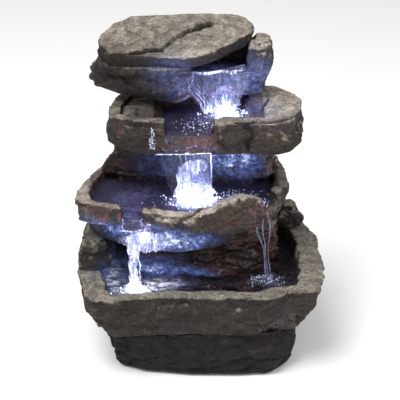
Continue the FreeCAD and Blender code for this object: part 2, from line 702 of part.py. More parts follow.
def make_pump():
    y0, y1 = duct_y - pump_width / 2, duct_y + pump_width / 2
    axis = V(1, 0, 0)

    def on_axis(x):
        return V(x, duct_y, pump_axis_z)

    body = block(pump_x0, pump_x1, y0, y1, pump_z0, pump_z1)
    long_edges = [e for e in body.Edges if abs(e.tangentAt(e.FirstParameter).x) > 0.99]
    body = body.makeFillet(pump_corner, long_edges)
    nozzle = rod(nozzle_outer / 2, nozzle_rise, V(duct_x, duct_y, pump_z1 - 1))
    body = body.fuse(nozzle)
    well_x = pump_x0 + chamber_depth
    body = body.cut(rod(chamber_radius, chamber_depth, on_axis(pump_x0), axis))
    body = body.cut(rod(well_radius, well_depth, on_axis(well_x), axis))
    body = body.cut(rod(bush_radius, bush_length, on_axis(well_x + well_depth), axis))
    bore_from = pump_axis_z + chamber_radius - 2
    body = body.cut(rod(nozzle_bore / 2, pump_z1 + nozzle_rise - bore_from, V(duct_x, duct_y, bore_from)))
    save("pump_body", body.removeSplitter())

    cover_x = pump_x0 - volute_cover_thickness
    plate = block(cover_x, pump_x0, y0 + 1, y1 - 1, pump_z0 + 1, pump_z1 - 1)
    plate = plate.cut(rod(chamber_radius - 4.5, volute_cover_thickness, on_axis(cover_x), axis))
    hub = rod(bush_radius + 1.0, volute_cover_thickness, on_axis(cover_x), axis)
    arms = [block(cover_x, pump_x0, duct_y - 0.8, duct_y + 0.8, pump_axis_z, pump_axis_z + chamber_radius - 4)
            .rotated(on_axis(cover_x), axis, 120 * k) for k in range(3)]
    cover = plate.fuse([hub] + arms).cut(rod(bush_radius, volute_cover_thickness, on_axis(cover_x), axis))
    save("volute_cover", cover.removeSplitter())

    end_x = well_x + well_depth
    bushes = [tube(bush_radius, shaft_radius, volute_cover_thickness, on_axis(cover_x), axis),
              tube(bush_radius, shaft_radius, bush_length, on_axis(end_x), axis)]
    save("shaft_bushes", *bushes)
    save("impeller_shaft", rod(shaft_radius, end_x + bush_length - cover_x, on_axis(cover_x), axis))

    rotor_x = well_x + 0.6
    magnet = rod(well_radius - rotor_gap, well_depth - 1.2, on_axis(rotor_x), axis)
    disc = rod(chamber_radius - 1.0, 1.0, on_axis(well_x - 1.6), axis)
    hub = rod(3.2, chamber_depth - 1.0, on_axis(pump_x0 + 0.5), axis)
    neck = rod(4.5, 2.4, on_axis(well_x - 1.6), axis)
    blades = [block(pump_x0 + 0.8, well_x - 1.0, duct_y - 0.6, duct_y + 0.6,
                    pump_axis_z + 2.0, pump_axis_z + chamber_radius - 1.2)
              .rotated(on_axis(pump_x0), axis, 60 * k) for k in range(6)]
    impeller = magnet.fuse([disc, hub, neck] + blades)
    impeller = impeller.cut(rod(shaft_radius + shaft_clearance, 60, on_axis(pump_x0 - 10), axis))
    save("impeller", impeller.removeSplitter())

    make_intake(cover_x, y0, y1, on_axis, axis)
    for k, (sx, sy) in enumerate([(0.18, -1), (0.82, -1), (0.18, 1), (0.82, 1)]):
        spot = V(pump_x0 + sx * pump_length, duct_y + sy * (pump_width / 2 - cup_radius - 2), sump_floor_z)
        cup = Part.makeCone(cup_radius, 2.4, cup_height, spot).cut(
            Part.makeCone(cup_radius - 1.2, 0.6, cup_height - 1.6, spot))
        save(f"suction_cup_{k + 1}", cup)


def make_intake(cover_x, y0, y1, on_axis, axis):
    x0 = cover_x - intake_length
    w = intake_wall
    shell = block(x0, cover_x, y0, y1, pump_z0, pump_z1)
    long_edges = [e for e in shell.Edges if abs(e.tangentAt(e.FirstParameter).x) > 0.99]
    shell = shell.makeFillet(pump_corner, long_edges)
    shell = shell.cut(block(x0 + w, cover_x, y0 + w, y1 - w, pump_z0 + w, pump_z1 - w))
    pitch = pump_height / 8
    for k in (1, 2, 6, 7):
        z = pump_z0 + k * pitch
        shell = shell.cut(block(x0 - 1, x0 + w + 1, y0 + 5, y1 - 5, z - 1, z + 1))
    for k in (-1, 1):
        z = pump_z0 + (4 + k) * pitch
        shell = shell.cut(block(x0 - 1, x0 + w + 1, y0 + 4, y0 + 8, z - 1, z + 1))
        shell = shell.cut(block(x0 - 1, x0 + w + 1, y1 - 8, y1 - 4, z - 1, z + 1))
    stub_radius = 2.0
    shell = shell.cut(rod(stub_radius + 0.1, w + 2, on_axis(x0 - 1), axis))
    save("intake_cover", shell.removeSplitter())
    dial = rod(dial_radius, dial_thickness - 0.3, on_axis(x0 - dial_thickness), axis)
    stub = rod(stub_radius, dial_thickness + w, on_axis(x0 - dial_thickness), axis)
    tab = block(x0 - dial_thickness, x0 - 0.3, duct_y - 1.2, duct_y + 1.2,
                pump_axis_z, pump_axis_z + dial_radius + 3)
    save("flow_dial", dial.fuse([stub, tab]).removeSplitter())
    gap = 0.5
    save("sponge_filter", block(x0 + w + 2.5, cover_x - 1.0, y0 + w + gap, y1 - w - gap,
                                pump_z0 + w + gap, pump_z1 - w - gap))


# ---------------------------------------------------------------- lamps, leads and the rear door
def make_lamp(name, front, direction):
    """A potted barrel with a clear domed lens in front of it and a rubber seal round its mouth."""
    back = front - direction * lamp_length
    barrel = rod(lamp_radius, lamp_length, back, direction)
    barrel = barrel.cut(rod(lead_radius, 2.0, back, direction))
    dome = Part.makeSphere(lamp_radius - 0.4, front, direction, 0, 90, 360)
    save(f"{name}_lamp_barrel", barrel)
    save(f"{name}_lamp_lens", dome)
    return back


def make_lamps():
    ux, uy = upper_lamp
    mx, my = middle_lamp
    upper_back = make_lamp("upper", V(ux, uy, middle_floor_z + seal_height), UP)
    middle_back = make_lamp("middle", V(mx, my, lower_floor_z + seal_height), UP)
    lower_z = ledge_top_z - lower_lamp_drop
    lower_back = make_lamp("lower", V(lower_lamp_x, lower_lamp_front_y(), lower_z), V(0, -1, 0))
    for name, x, y, z in (("upper", ux, uy, middle_floor_z), ("middle", mx, my, lower_floor_z)):
        save(f"{name}_lamp_seal", tube(lamp_radius + seal_width, lamp_radius, seal_height, V(x, y, z)))
    splice_top = ledge_top_z
    splice_z0 = splice_top - splice_height
    box = rounded_block(splice_x0, splice_x0 + splice_length, splice_y0, splice_y0 + splice_width,
                        splice_z0, splice_top, 2.0)
    save("splice_box", box)
    right_x, middle_y = splice_x0 + splice_length, splice_y0 + splice_width / 2
    entry_z = splice_z0 + splice_height / 2
    save("lower_lamp_lead", cable([
        lower_back, V(lower_lamp_x + 1.5, lower_back.y / 2, lower_z - 1.5), V(lower_lamp_x, splice_y0, entry_z)],
        lead_radius, lead_bend))
    save("middle_lamp_lead", cable([
        middle_back, V(mx, my, ledge_top_z - 11), V(mx, middle_y - 8, ledge_top_z - 11),
        V(mx - 6, middle_y + 3, entry_z), V(right_x, middle_y + 3, entry_z)], lead_radius, lead_bend))
    beside_x, beside_y = duct_x + hose_outer / 2 + 6.0, duct_y - 4.0
    save("upper_lamp_lead", cable([
        upper_back, V(ux, uy, middle_bottom_z + 3.6), V(ux + 1, beside_y - 6, middle_bottom_z + 2.6),
        V(beside_x, beside_y - 2, middle_bottom_z - 10), V(beside_x + 0.5, beside_y, 150), V(beside_x, beside_y, 124),
        V(duct_x, beside_y - 14, splice_z0 - 1), V(right_x + 12, middle_y - 3, splice_z0 + 2),
        V(right_x, middle_y - 3, splice_z0 + 4)], lead_radius, lead_bend))
    tail = V(pump_x1 - 5, duct_y - 9, pump_z1)
    save("pump_lead", cable([
        tail, tail + V(0, 0, 14), tail + V(-16, -6, 32), V(splice_x0 + 20, middle_y, splice_z0 - 18),
        V(splice_x0 + 13, middle_y, splice_z0)], lead_radius + 0.5, lead_bend + 2))


def make_door():
    """The rear door: a plate that fills the window, with two sprung lips that grip its sides and a finger pull."""
    x0, x1 = door_x0 + door_gap, door_x0 + door_width - door_gap
    z0, z1 = door_z0 + door_gap, door_z0 + door_height - door_gap
    outer_y = tower_back_y + 1.5
    plate = rounded_plate(x0, x1, outer_y - door_thickness, outer_y, z0, z1, 3.0)
    cx = (x0 + x1) / 2
    pull = rod(9.0, door_thickness, V(cx, outer_y - 3.0, z1 + 1.0), V(0, 1, 0))
    lips = [block(x, x + 2.0, chamber_y1 - 3, outer_y - 1, z0 + 7, z1 - 7) for x in (x0 + 1.0, x1 - 3.0)]
    bar = block(cx - 11, cx + 11, outer_y, outer_y + 3.5, z1 - 14, z1 - 11.5)
    save("rear_door", plate.cut(pull).fuse(lips + [bar]).removeSplitter())


def rounded_plate(x0, x1, y0, y1, z0, z1, radius):
    """An upright plate with its four corners rounded."""
    body = block(x0, x1, y0, y1, z0, z1)
    corners = [e for e in body.Edges if abs(e.tangentAt(e.FirstParameter).y) > 0.99]
    return body.makeFillet(radius, corners)


def make_pebbles():
    """Loose river pebbles on the basin's floor.  Each is placed by its share of the half width of the floor, and
    by its distance in front of the grotto wall."""
    spots = [(0.62, 10, 9, 5.5, 4.5), (0.86, 9, 6, 6, 5), (0.42, 18, 7, 6, 4), (-0.4, 19, 8, 6, 4.5),
             (-0.83, 11, 6, 6, 4.5)]
    half_width = basin_width / 2 - rim_side - 7
    stones = []
    for k, (share, ahead, rx, ry, rz) in enumerate(spots):
        x, y = share * half_width, grotto_front_y - ahead
        squash = FreeCAD.Matrix(rx, 0, 0, x, 0, ry, 0, y, 0, 0, rz, basin_floor_z + rz + 0.1)
        pebble = Part.makeSphere(1.0).transformGeometry(squash)
        pebble.rotate(V(x, y, 0), UP, 25 * chip(k, 5))
        stones.append(pebble)
    save("river_pebbles", *stones)


def main():
    make_pedestal()
    make_basin()
    make_rim_stones()
    make_grotto()
    make_ledge()
    make_lower_tier()
    make_lower_neck()
    make_middle_tier()
    make_upper_neck()
    make_upper_stones()
    make_hose()
    make_pump()
    make_lamps()
    make_door()
    make_pebbles()
    os.makedirs("parts", exist_ok=True)
    for name, shape in nodes.items():
        solids = shape.Solids
        if not shape.isValid() or not solids or any(s.Volume <= 0 for s in solids):
            print(f"WARNING {name}: valid {shape.isValid()}, solids {len(solids)}")
        shape.exportStep(f"parts/{name}.step")
    print(f"{len(nodes)} nodes written")


main()
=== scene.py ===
"""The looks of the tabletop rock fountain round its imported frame: carved stones, running water, lit lamps.

Metres, +Z up, +X to the right of a viewer who faces the falls, and the falls face -Y.  The tables of wet, lit
and shaded places and the arguments of pool, strand and burst are in millimetres.
"""
import json
import math

import bmesh
import bpy
import numpy as np
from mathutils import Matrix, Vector


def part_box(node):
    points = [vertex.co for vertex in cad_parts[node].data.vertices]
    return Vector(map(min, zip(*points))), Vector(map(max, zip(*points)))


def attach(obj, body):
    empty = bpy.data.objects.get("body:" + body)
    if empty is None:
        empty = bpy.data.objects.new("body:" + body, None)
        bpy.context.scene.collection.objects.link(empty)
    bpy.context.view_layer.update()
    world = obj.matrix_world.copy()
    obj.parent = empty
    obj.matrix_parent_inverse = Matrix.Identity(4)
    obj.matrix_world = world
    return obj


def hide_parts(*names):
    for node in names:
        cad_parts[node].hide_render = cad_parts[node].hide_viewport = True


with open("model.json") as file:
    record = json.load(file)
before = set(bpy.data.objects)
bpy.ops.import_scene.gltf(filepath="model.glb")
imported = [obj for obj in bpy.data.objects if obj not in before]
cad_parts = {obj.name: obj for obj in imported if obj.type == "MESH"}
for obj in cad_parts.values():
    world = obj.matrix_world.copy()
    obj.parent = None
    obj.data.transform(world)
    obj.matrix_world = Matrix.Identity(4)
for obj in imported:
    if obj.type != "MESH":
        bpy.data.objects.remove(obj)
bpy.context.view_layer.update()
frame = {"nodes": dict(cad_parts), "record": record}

rng = np.random.default_rng(7)
MASK = 0xFFFFFFFF
CORNERS = np.indices((2, 2, 2)).reshape(3, -1).T
AROUND = np.indices((3, 3, 3)).reshape(3, -1).T - 1
MM = 0.001
RELIEF = 0.0005            # the bulge that counts as one for worn, highlit edges and for painted shade in hollows
UNDER_BANK = 0.0006        # how far a pool runs into the stone round it
POOL_THICKNESS, POOL_SWELL = 0.0012, 0.0004
FOAM_THICKNESS = 0.0003
RING_HEIGHT, RING_PITCH, RING_REACH = 0.0008, 0.0012, 0.010     # the rings that spread where water lands
GLOW_REACH = 0.010
# the blue and the white of the lamps' light painted on the stones
LAMP_BLUE, LAMP_WHITE = (0.16, 0.27, 0.80), (0.72, 0.82, 1.0)


def middle(node):
    """The centre of a node's box, as an array."""
    lo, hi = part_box(node)
    return (np.array(lo) + np.array(hi)) / 2


# ---------------- places read from the frame
upper_lamp = middle("upper_lamp_lens")
middle_lamp = middle("middle_lamp_lens")
lower_lamp = middle("lower_lamp_lens")
basin_rim_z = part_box("basin")[1].z
lower_floor_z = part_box("middle_lamp_seal")[0].z
middle_floor_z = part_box("upper_lamp_seal")[0].z
upper_lip_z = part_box("upper_side_stone")[0].z
basin_level = basin_rim_z - 0.010
lower_level = lower_floor_z + 0.0052
middle_level = middle_floor_z + 0.0030
upper_level = upper_lip_z + 0.0012


# ---------------- fixed noise
def lattice(cell, seed):
    """A fixed number from 0 to 1 for each whole-numbered cell (N x 3)."""
    h = (cell[:, 0] * 374761393 + cell[:, 1] * 668265263 + cell[:, 2] * 1440662683 + seed * 362437) & MASK
    h = ((h ^ (h >> 13)) * 1274126177) & MASK
    return ((h ^ (h >> 16)) & 0xFFFF) / 0xFFFF


def noise(p, size, seed):
    """Smooth noise from -1 to 1: the numbers at a cell's corners, blended by 3t^2 - 2t^3 along each axis."""
    q = p / size
    base = np.floor(q)
    t = q - base
    t = t * t * (3 - 2 * t)
    base = base.astype(np.int64)
    total = np.zeros(len(p))
    for corner in CORNERS:
        total += np.prod(np.where(corner, t, 1 - t), axis=1) * lattice(base + corner, seed)
    return 2 * total - 1


def layered(p, size, seed, octaves=4, gain=0.5):
    """Noise summed over octaves, each half the size and gain times the height of the one before."""
    heights = gain ** np.arange(octaves)
    return sum(h * noise(p, size / 2**k, seed + k) for k, h in enumerate(heights)) / heights.sum()


def facets(p, size, seed):
    """Chiselled faces: each point belongs to the nearest of the jittered seeds, one to a cell, and each seed has a
    tilted plane.  Gives the plane's height, about -1 to 1, and the distance to the cell's border in cells."""
    q = p / size
    base = np.floor(q).astype(np.int64)
    best, second, height = np.full(len(p), 9.0), np.full(len(p), 9.0), np.zeros(len(p))
    for offset in AROUND:
        cell = base + offset
        away = q - cell - np.stack([lattice(cell, seed + k) for k in range(3)], 1)
        gap = (away**2).sum(1)
        tilt = np.stack([lattice(cell, seed + 3 + k) for k in range(3)], 1) - 0.5
        plane = (away * tilt).sum(1) * 1.8 + 1.4 * (lattice(cell, seed + 6) - 0.5)
        nearer = gap < best
        second = np.where(nearer, best, np.minimum(second, gap))
        height = np.where(nearer, plane, height)
        best = np.where(nearer, gap, best)
    return height, np.sqrt(second) - np.sqrt(best)


def rise(x, low, high):
    """0 below low, 1 above high, and 3t^2 - 2t^3 between them."""
    t = np.clip((x - low) / (high - low), 0, 1)
    return t * t * (3 - 2 * t)


def inside(p, lo, hi, edge=0.003):
    """1 within the box from lo to hi, fading to 0 over edge outside it."""
    out = np.maximum(np.maximum(np.array(lo) - p, p - np.array(hi)), 0)
    return 1 - rise(np.sqrt((out**2).sum(1)), 0, edge)


def to_line(p, start, end):
    """Signed distance to the line start-end seen from above (positive to its left) and the share along it."""
    a, b = np.array(start), np.array(end)
    along = (b - a) / np.linalg.norm(b - a)
    d = p[:, :2] - a
    return along[0] * d[:, 1] - along[1] * d[:, 0], (d @ along) / np.linalg.norm(b - a)


# ---------------- meshes
def new_mesh(name, verts, faces, attributes=None, smooth=True):
    """A mesh object from arrays, with one float attribute per entry of attributes."""
    mesh = bpy.data.meshes.new(name)
    mesh.from_pydata(np.asarray(verts, float), [], faces if isinstance(faces, list) else faces.tolist())
    for key, values in (attributes or {}).items():
        mesh.attributes.new(key, "FLOAT", "POINT").data.foreach_set("value", np.asarray(values, np.float32))
    mesh.polygons.foreach_set("use_smooth", np.full(len(mesh.polygons), smooth))
    mesh.update()
    obj = bpy.data.objects.new(name, mesh)
    bpy.context.scene.collection.objects.link(obj)
    return obj


def read(items, key, width, kind=float):
    """One property of a mesh's vertices, edges, loops or triangles, as rows of the width."""
    values = np.zeros(len(items) * width, kind)
    items.foreach_get(key, values)
    return values.reshape(-1, width)


def even_net(node, pitch):
    """The node's merged copy as an even net: vertices, quads and edges as arrays."""
    mesh = frame["nodes"][node].data.copy()
    mesh.materials.clear()
    work = bmesh.new()
    work.from_mesh(mesh)
    bmesh.ops.remove_doubles(work, verts=work.verts, dist=1e-6)
    work.to_mesh(mesh)
    work.free()
    raw = bpy.data.objects.new("raw", mesh)
    bpy.context.scene.collection.objects.link(raw)
    net = raw.modifiers.new("net", "REMESH")
    net.mode = "VOXEL"
    net.voxel_size = pitch
    even = bpy.data.meshes.new_from_object(raw.evaluated_get(bpy.context.evaluated_depsgraph_get()))
    bpy.data.objects.remove(raw)
    quads = read(even.loops, "vertex_index", 1, int).reshape(-1, 4)
    return read(even.vertices, "co", 3), quads, read(even.edges, "vertices", 2, int)


def neighbour_mean(values, edges):
    """For each vertex the mean of its neighbours' values (N x K)."""
    n = len(values)
    count = np.maximum(np.bincount(edges.ravel(), minlength=n), 1)
    sums = [np.bincount(edges[:, 0], column[edges[:, 1]], n) + np.bincount(edges[:, 1], column[edges[:, 0]], n)
            for column in values.T]
    return np.stack(sums, 1) / count[:, None]


def smoothed(values, edges, times, share=0.5):
    """Values moved by share towards their neighbours' mean, several times."""
    for _ in range(times):
        values = values + share * (neighbour_mean(values, edges) - values)
    return values


def vertex_normals(verts, quads):
    """Unit normals: the cross product of each quad's diagonals, summed at its corners."""
    cross = np.cross(verts[quads[:, 2]] - verts[quads[:, 0]], verts[quads[:, 3]] - verts[quads[:, 1]])
    total = np.stack([np.bincount(quads.ravel(), np.repeat(cross[:, k], 4), len(verts)) for k in range(3)], 1)
    return total / np.maximum(np.linalg.norm(total, axis=1, keepdims=True), 1e-12)


def section_at(node, level):
    """The segments in which a level plane cuts the node's mesh, as N x 2 x 2 points seen from above."""
    mesh = frame["nodes"][node].data
    mesh.calc_loop_triangles()
    corner = read(mesh.vertices, "co", 3)[read(mesh.loop_triangles, "vertices", 3, int)]
    over = corner[:, :, 2] > level
    mixed = over.any(1) & ~over.all(1)
    corner, over = corner[mixed], over[mixed]
    lone = np.argmax(over == (over.sum(1) == 1)[:, None], axis=1)
    rows = np.arange(len(corner))
    tip = corner[rows, lone]
    ends = []
    for k in (1, 2):
        other = corner[rows, (lone + k) % 3]
        t = (level - tip[:, 2]) / (other[:, 2] - tip[:, 2])
        ends.append((tip + (other - tip) * t[:, None])[:, :2])
    return np.stack(ends, 1)


def shoreline(node, level, centre, angles, far):
    """For each angle, how far a ray from the centre runs before it meets the node at that level, at most far."""
    a, b = section_at(node, level).transpose(1, 0, 2)
    ray = np.stack([np.cos(angles), np.sin(angles)], 1)
    edge = b - a
    from_centre = a - np.array(centre)
    cross = ray[:, None, 0] * edge[None, :, 1] - ray[:, None, 1] * edge[None, :, 0]
    cross = np.where(np.abs(cross) < 1e-12, 1e-12, cross)
    t = (from_centre[:, 0] * edge[:, 1] - from_centre[:, 1] * edge[:, 0])[None, :] / cross
    s = (from_centre[None, :, 0] * ray[:, None, 1] - from_centre[None, :, 1] * ray[:, None, 0]) / cross
    hit = np.where((t > 0) & (s >= 0) & (s <= 1), t, far)
    return np.minimum(hit.min(1), far)


# ---------------- material nodes
class Link:
    """One output socket of a material.  Sums, differences and products of links add Math nodes to its tree."""

    def __init__(self, tree, socket):
        self.tree, self.socket = tree, socket

    def node(self, kind, settings=None, inputs=None, out=0):
        """Adds a shader node: its settings first, then its sockets' values or links."""
        made = self.tree.nodes.new("ShaderNode" + kind)
        for key, value in (settings or {}).items():
            setattr(made, key, value)
        for key, value in (inputs or {}).items():
            if isinstance(value, Link):
                self.tree.links.new(value.socket, made.inputs[key])
            else:
                made.inputs[key].default_value = value
        return Link(self.tree, made.outputs[out] if len(made.outputs) else None)

    def maths(self, operation, *values):
        return self.node("Math", {"operation": operation}, dict(enumerate(values)))

    def __add__(self, other):
        return self.maths("ADD", self, other)

    def __mul__(self, other):
        return self.maths("MULTIPLY", self, other)

    def __sub__(self, other):
        return self.maths("SUBTRACT", self, other)

    def __rsub__(self, other):
        return self.maths("SUBTRACT", other, self)

    __radd__, __rmul__ = __add__, __mul__

    def clamped(self):
        return self.node("Clamp", {}, {"Value": self})

    def between(self, low, high):
        """0 at low and 1 at high, in a smooth step."""
        return self.node("MapRange", {"interpolation_type": "SMOOTHSTEP"},
                         {"Value": self, "From Min": low, "From Max": high})

    def mix(self, first, second):
        """The colours first and second mixed by this link."""
        paint = [c if isinstance(c, Link) else (*c, 1.0) for c in (first, second)]
        return self.node("Mix", {"data_type": "RGBA", "clamp_factor": True},
                         {0: self, 6: paint[0], 7: paint[1]}, out=2)

    def times_colour(self, colour):
        """A colour scaled by this link."""
        return self.node("VectorMath", {"operation": "SCALE"}, {0: colour, 3: self})


class Paint:
    """A new material: its tree, its Object coordinates, and the surface that is made last."""

    def __init__(self, name):
        self.material = bpy.data.materials.new(name)
        self.material.use_nodes = True
        self.tree = self.material.node_tree
        self.tree.nodes.clear()
        start = Link(self.tree, None)
        self.start = start
        self.place = start.node("TexCoord", out=3)

    def noise(self, feature, detail=4.0, rough=0.55, stretch=(1, 1, 1), contrast=None):
        """Noise whose features measure about feature, in metres, longer along an axis with a small stretch."""
        at = self.place
        if stretch != (1, 1, 1):
            at = self.start.node("Mapping", {}, {"Vector": at, "Scale": stretch})
        value = self.start.node("TexNoise", {"noise_dimensions": "3D"},
                                {"Vector": at, "Scale": 1 / feature, "Detail": detail, "Roughness": rough})
        return value.between(*contrast) if contrast else value

    def spots(self, feature):
        """The distance to the nearest of scattered points, in features."""
        return self.start.node("TexVoronoi", {}, {"Vector": self.place, "Scale": 1 / feature})

    def attribute(self, name):
        return self.start.node("Attribute", {"attribute_name": name}, out=2)

    def finish(self, colour, roughness, bump=None, bump_distance=0.0005, bump_strength=1.0, **sockets):
        """The Principled surface with its Bump; sockets are the other inputs, underscores for spaces."""
        inputs = {"Base Color": colour if isinstance(colour, Link) else (*colour, 1.0), "Roughness": roughness}
        inputs.update({key.replace("_", " "): value for key, value in sockets.items()})
        if bump is not None:
            inputs["Normal"] = self.start.node("Bump", {}, {
                "Strength": bump_strength, "Distance": bump_distance, "Height": bump})
        shader = self.start.node("BsdfPrincipled", {}, inputs)
        self.start.node("OutputMaterial", {}, {"Surface": shader})
        return self.material


# ---------------- stone
def stone_paint(name, side, side_warm, top, top_pale, worn_highlight, wet_colour, speckle):
    """Cast resin stone: mottled sides, brushed tan paint where a face looks up, lightened further there as painted
    light from above, pale rubbed edges that are also a painted highlight, painted shade in the hollows and cracks,
    fine speckle, and a darker, redder, glossy look where water runs.  The shade attribute paints shade on the stone,
    and painted light where it is below zero, and the lit attribute paints the lamps' blue light on as a glow."""
    m = Paint(name)
    broad = m.noise(0.030, 5.0, 0.6, contrast=(0.34, 0.66))
    mottle = m.noise(0.008, 6.0, 0.68, contrast=(0.34, 0.66))
    grain = m.noise(0.0022, 5.0, 0.75, contrast=(0.34, 0.66))
    strata = m.noise(0.006, 4.0, 0.6, stretch=(0.25, 0.25, 1.0), contrast=(0.35, 0.7))
    up, edge, hollow_shade = m.attribute("up"), m.attribute("edge"), m.attribute("hollow_shade")
    wet, lit, shade = m.attribute("wet"), m.attribute("lit"), m.attribute("shade")
    sides = (broad * 0.5 + strata * 0.5).mix(side, side_warm)
    tops = (mottle * 0.6 + broad * 0.4).mix(top, top_pale)
    # tan paint on faces that look up, lightened as painted light from above, less where painted shade lies
    tan_and_toplit = (up + (mottle - 0.5) * 0.35 - shade * 0.35).between(0.30, 0.80)
    colour = tan_and_toplit.mix(sides, tops)
    # pale rubbed edges, also a painted highlight, fainter where painted shade lies
    colour = (edge * (0.2 + mottle * 0.7) * (1 - shade * 0.8)).mix(colour, worn_highlight)
    soaked = (wet + (mottle - 0.5) * 0.5).between(0.25, 0.75)
    reds = m.noise(0.013, 4.0, 0.6, stretch=(0.6, 0.6, 1.3), contrast=(0.42, 0.68))
    wet_paint = reds.mix([c * 0.2 + 0.006 for c in wet_colour], wet_colour)
    colour = (soaked * 0.94).mix(colour, wet_paint)
    pits = m.spots(0.0021).between(0.36, 0.14) * m.noise(0.012, contrast=(0.42, 0.6))
    colour = (pits * speckle).mix(colour, (0.012, 0.010, 0.009))
    # painted shade: near black in the hollows and along the cracks
    colour = (hollow_shade * (0.7 + broad * 0.3)).mix(colour, (0.010, 0.008, 0.008))
    # painted shade where the shade attribute is above zero, painted light where it is below
    value = (0.38 + grain * 0.78 + mottle * 0.42) * (1 - shade * 0.72)
    colour = value.times_colour(colour)
    # painted lamp light: a blue-white glow where the lit attribute is high
    glints = m.noise(0.0030, 6.0, 0.78, contrast=(0.36, 0.66))
    blotch = m.noise(0.0085, 5.0, 0.7, contrast=(0.30, 0.62))
    glow = lit * (0.16 + glints * 0.50 + glints * blotch * 0.40) * (0.35 + blotch * 0.75)
    whiter = (glow * 0.95 - 0.36).clamped()
    emission = glow.times_colour(whiter.mix(LAMP_BLUE, LAMP_WHITE))
    height = grain * 0.8 + mottle * 0.9 + m.noise(0.0045, 5.0, 0.7) * 0.8
    return m.finish(colour, 0.88 - soaked * 0.60 + (grain - 0.5) * 0.2, height, 0.0011, 1.0,
                    Coat_Weight=soaked * 0.5, Coat_Roughness=0.12, Specular_IOR_Level=0.3,
                    Emission_Color=emission, Emission_Strength=1.0)


# side, warmer side, top and paler top (tan paint, lightened as painted light from above), worn edge (also a
# painted highlight), wet colour, and how strong the speckle is
STONE_PAINTS = {name: stone_paint(name, *look) for name, look in {
    "pedestal_stone": ((0.014, 0.0125, 0.0125), (0.026, 0.022, 0.021), (0.034, 0.030, 0.027),
                       (0.05, 0.043, 0.037), (0.05, 0.043, 0.036), (0.02, 0.015, 0.012), 0.5),
    "basin_stone": ((0.035, 0.030, 0.027), (0.070, 0.056, 0.046), (0.19, 0.168, 0.140),
                    (0.35, 0.318, 0.268), (0.26, 0.228, 0.185), (0.050, 0.036, 0.028), 0.9),
    "tier_stone": ((0.038, 0.032, 0.030), (0.085, 0.064, 0.052), (0.20, 0.172, 0.145),
                   (0.40, 0.355, 0.305), (0.27, 0.235, 0.195), (0.13, 0.042, 0.028), 0.75),
    # the stone of the necks, grotto and ledge: darker for the wet, and darker still as painted shade in these
    # recesses
    "wet_stone": ((0.022, 0.015, 0.015), (0.055, 0.030, 0.024), (0.085, 0.060, 0.050),
                  (0.13, 0.092, 0.075), (0.12, 0.085, 0.065), (0.15, 0.046, 0.032), 0.5),
    "pebble_stone": ((0.14, 0.045, 0.026), (0.30, 0.10, 0.055), (0.42, 0.16, 0.10),
                     (0.55, 0.26, 0.17), (0.45, 0.22, 0.15), (0.55, 0.17, 0.10), 0.3),
}.items()}

# where water wets the stones: boxes, low corner and high corner, in millimetres
WET = [
    ((-72, -66, 40), (74, 60, 74.5)),
    ((-64, -40, 46), (69, 0, 108)),
    ((-62, -70, 100), (-40, -30, 138)),
    ((-88, -47, 128), (62, 20, 141.5)),
    ((-20, -10, 132), (62, 20, 182)),
    ((-29, -60, 176), (12, -10, 200)),
    ((-62, -26, 194), (66, 50, 203.5)),
    ((-22, -20, 200), (48, 30, 232.5)),
    ((40, -45, 100), (62, -12, 140)),
]
# soft patches of the lamps' light, painted on the stones as a glow: centre, reach along each axis, both in mm,
# and strength
LIT = [
    ((20, 8, 206), (20, 14, 10), 1.1), ((26, 14, 222), (24, 14, 10), 0.55),
    ((42, 14, 230), (14, 12, 14), 0.75), ((2, 6, 229), (20, 12, 6), 0.45),
    ((-20, -10, 238), (16, 12, 16), 0.42), ((-4, -4, 222), (16, 14, 10), 0.40),
    ((46, -6, 206), (18, 18, 6), 0.35), ((-2, -6, 150), (16, 14, 16), 1.0),
    ((20, -4, 168), (20, 14, 10), 1.75), ((30, -4, 156), (14, 14, 12), 1.4),
    ((-30, -4, 158), (20, 14, 14), 0.35), ((-42, -52, 121), (18, 14, 7), 1.5),
    ((-20, -54, 115), (22, 14, 8), 1.3), ((2, -52, 114), (14, 14, 5), 0.6),
    ((-74, -42, 122), (18, 18, 8), 1.5), ((-76, -14, 66), (12, 24, 14), 0.95),
    ((-46, -34, 76), (18, 12, 7), 1.9), ((-20, -34, 73), (22, 12, 4), 1.6),
    ((-30, -34, 84), (18, 12, 2.5), 0.5), ((-50, -14, 137), (30, 12, 6), 0.14),
]
# painted shade, the same way (below zero: painted light): under overhangs, between the tiers, down the grotto
SHADE = [
    ((20, 20, 244), (30, 20, 10), 0.8), ((-45, -10, 232), (50, 22, 20), 0.25),
    ((-78, -5, 248), (30, 34, 11), 1.0), ((-40, -16, 249), (50, 6, 8), 0.8),
    ((-50, -30, 196), (22, 10, 16), 0.35), ((-46, -8, 207), (18, 20, 7), 0.8),
    ((55, 0, 160), (20, 20, 28), 0.45), ((25, -34, 80), (30, 20, 24), 0.55),
    ((-30, -36, 98), (40, 20, 10), 0.6), ((48, 14, 244), (16, 16, 20), -0.8),
    ((0, -12, 252), (40, 12, 5), -0.8), ((62, 10, 206), (28, 40, 10), -0.6),
    ((20, -46, 140), (50, 20, 14), -1.0), ((-80, -30, 142), (30, 30, 10), -0.7),
    ((-25, -56, 140), (22, 12, 8), -0.6), ((-8, -30, 189), (18, 10, 10), -1.0),
]


def patches(p, table):
    """The sum over the table of strength times exp(-(distance over reach)^2)."""
    total = np.zeros(len(p))
    for centre, reach, strength in table:
        away = (p - MM * np.array(centre)) / (MM * np.array(reach))
        total += strength * np.exp(-(away**2).sum(1))
    return total


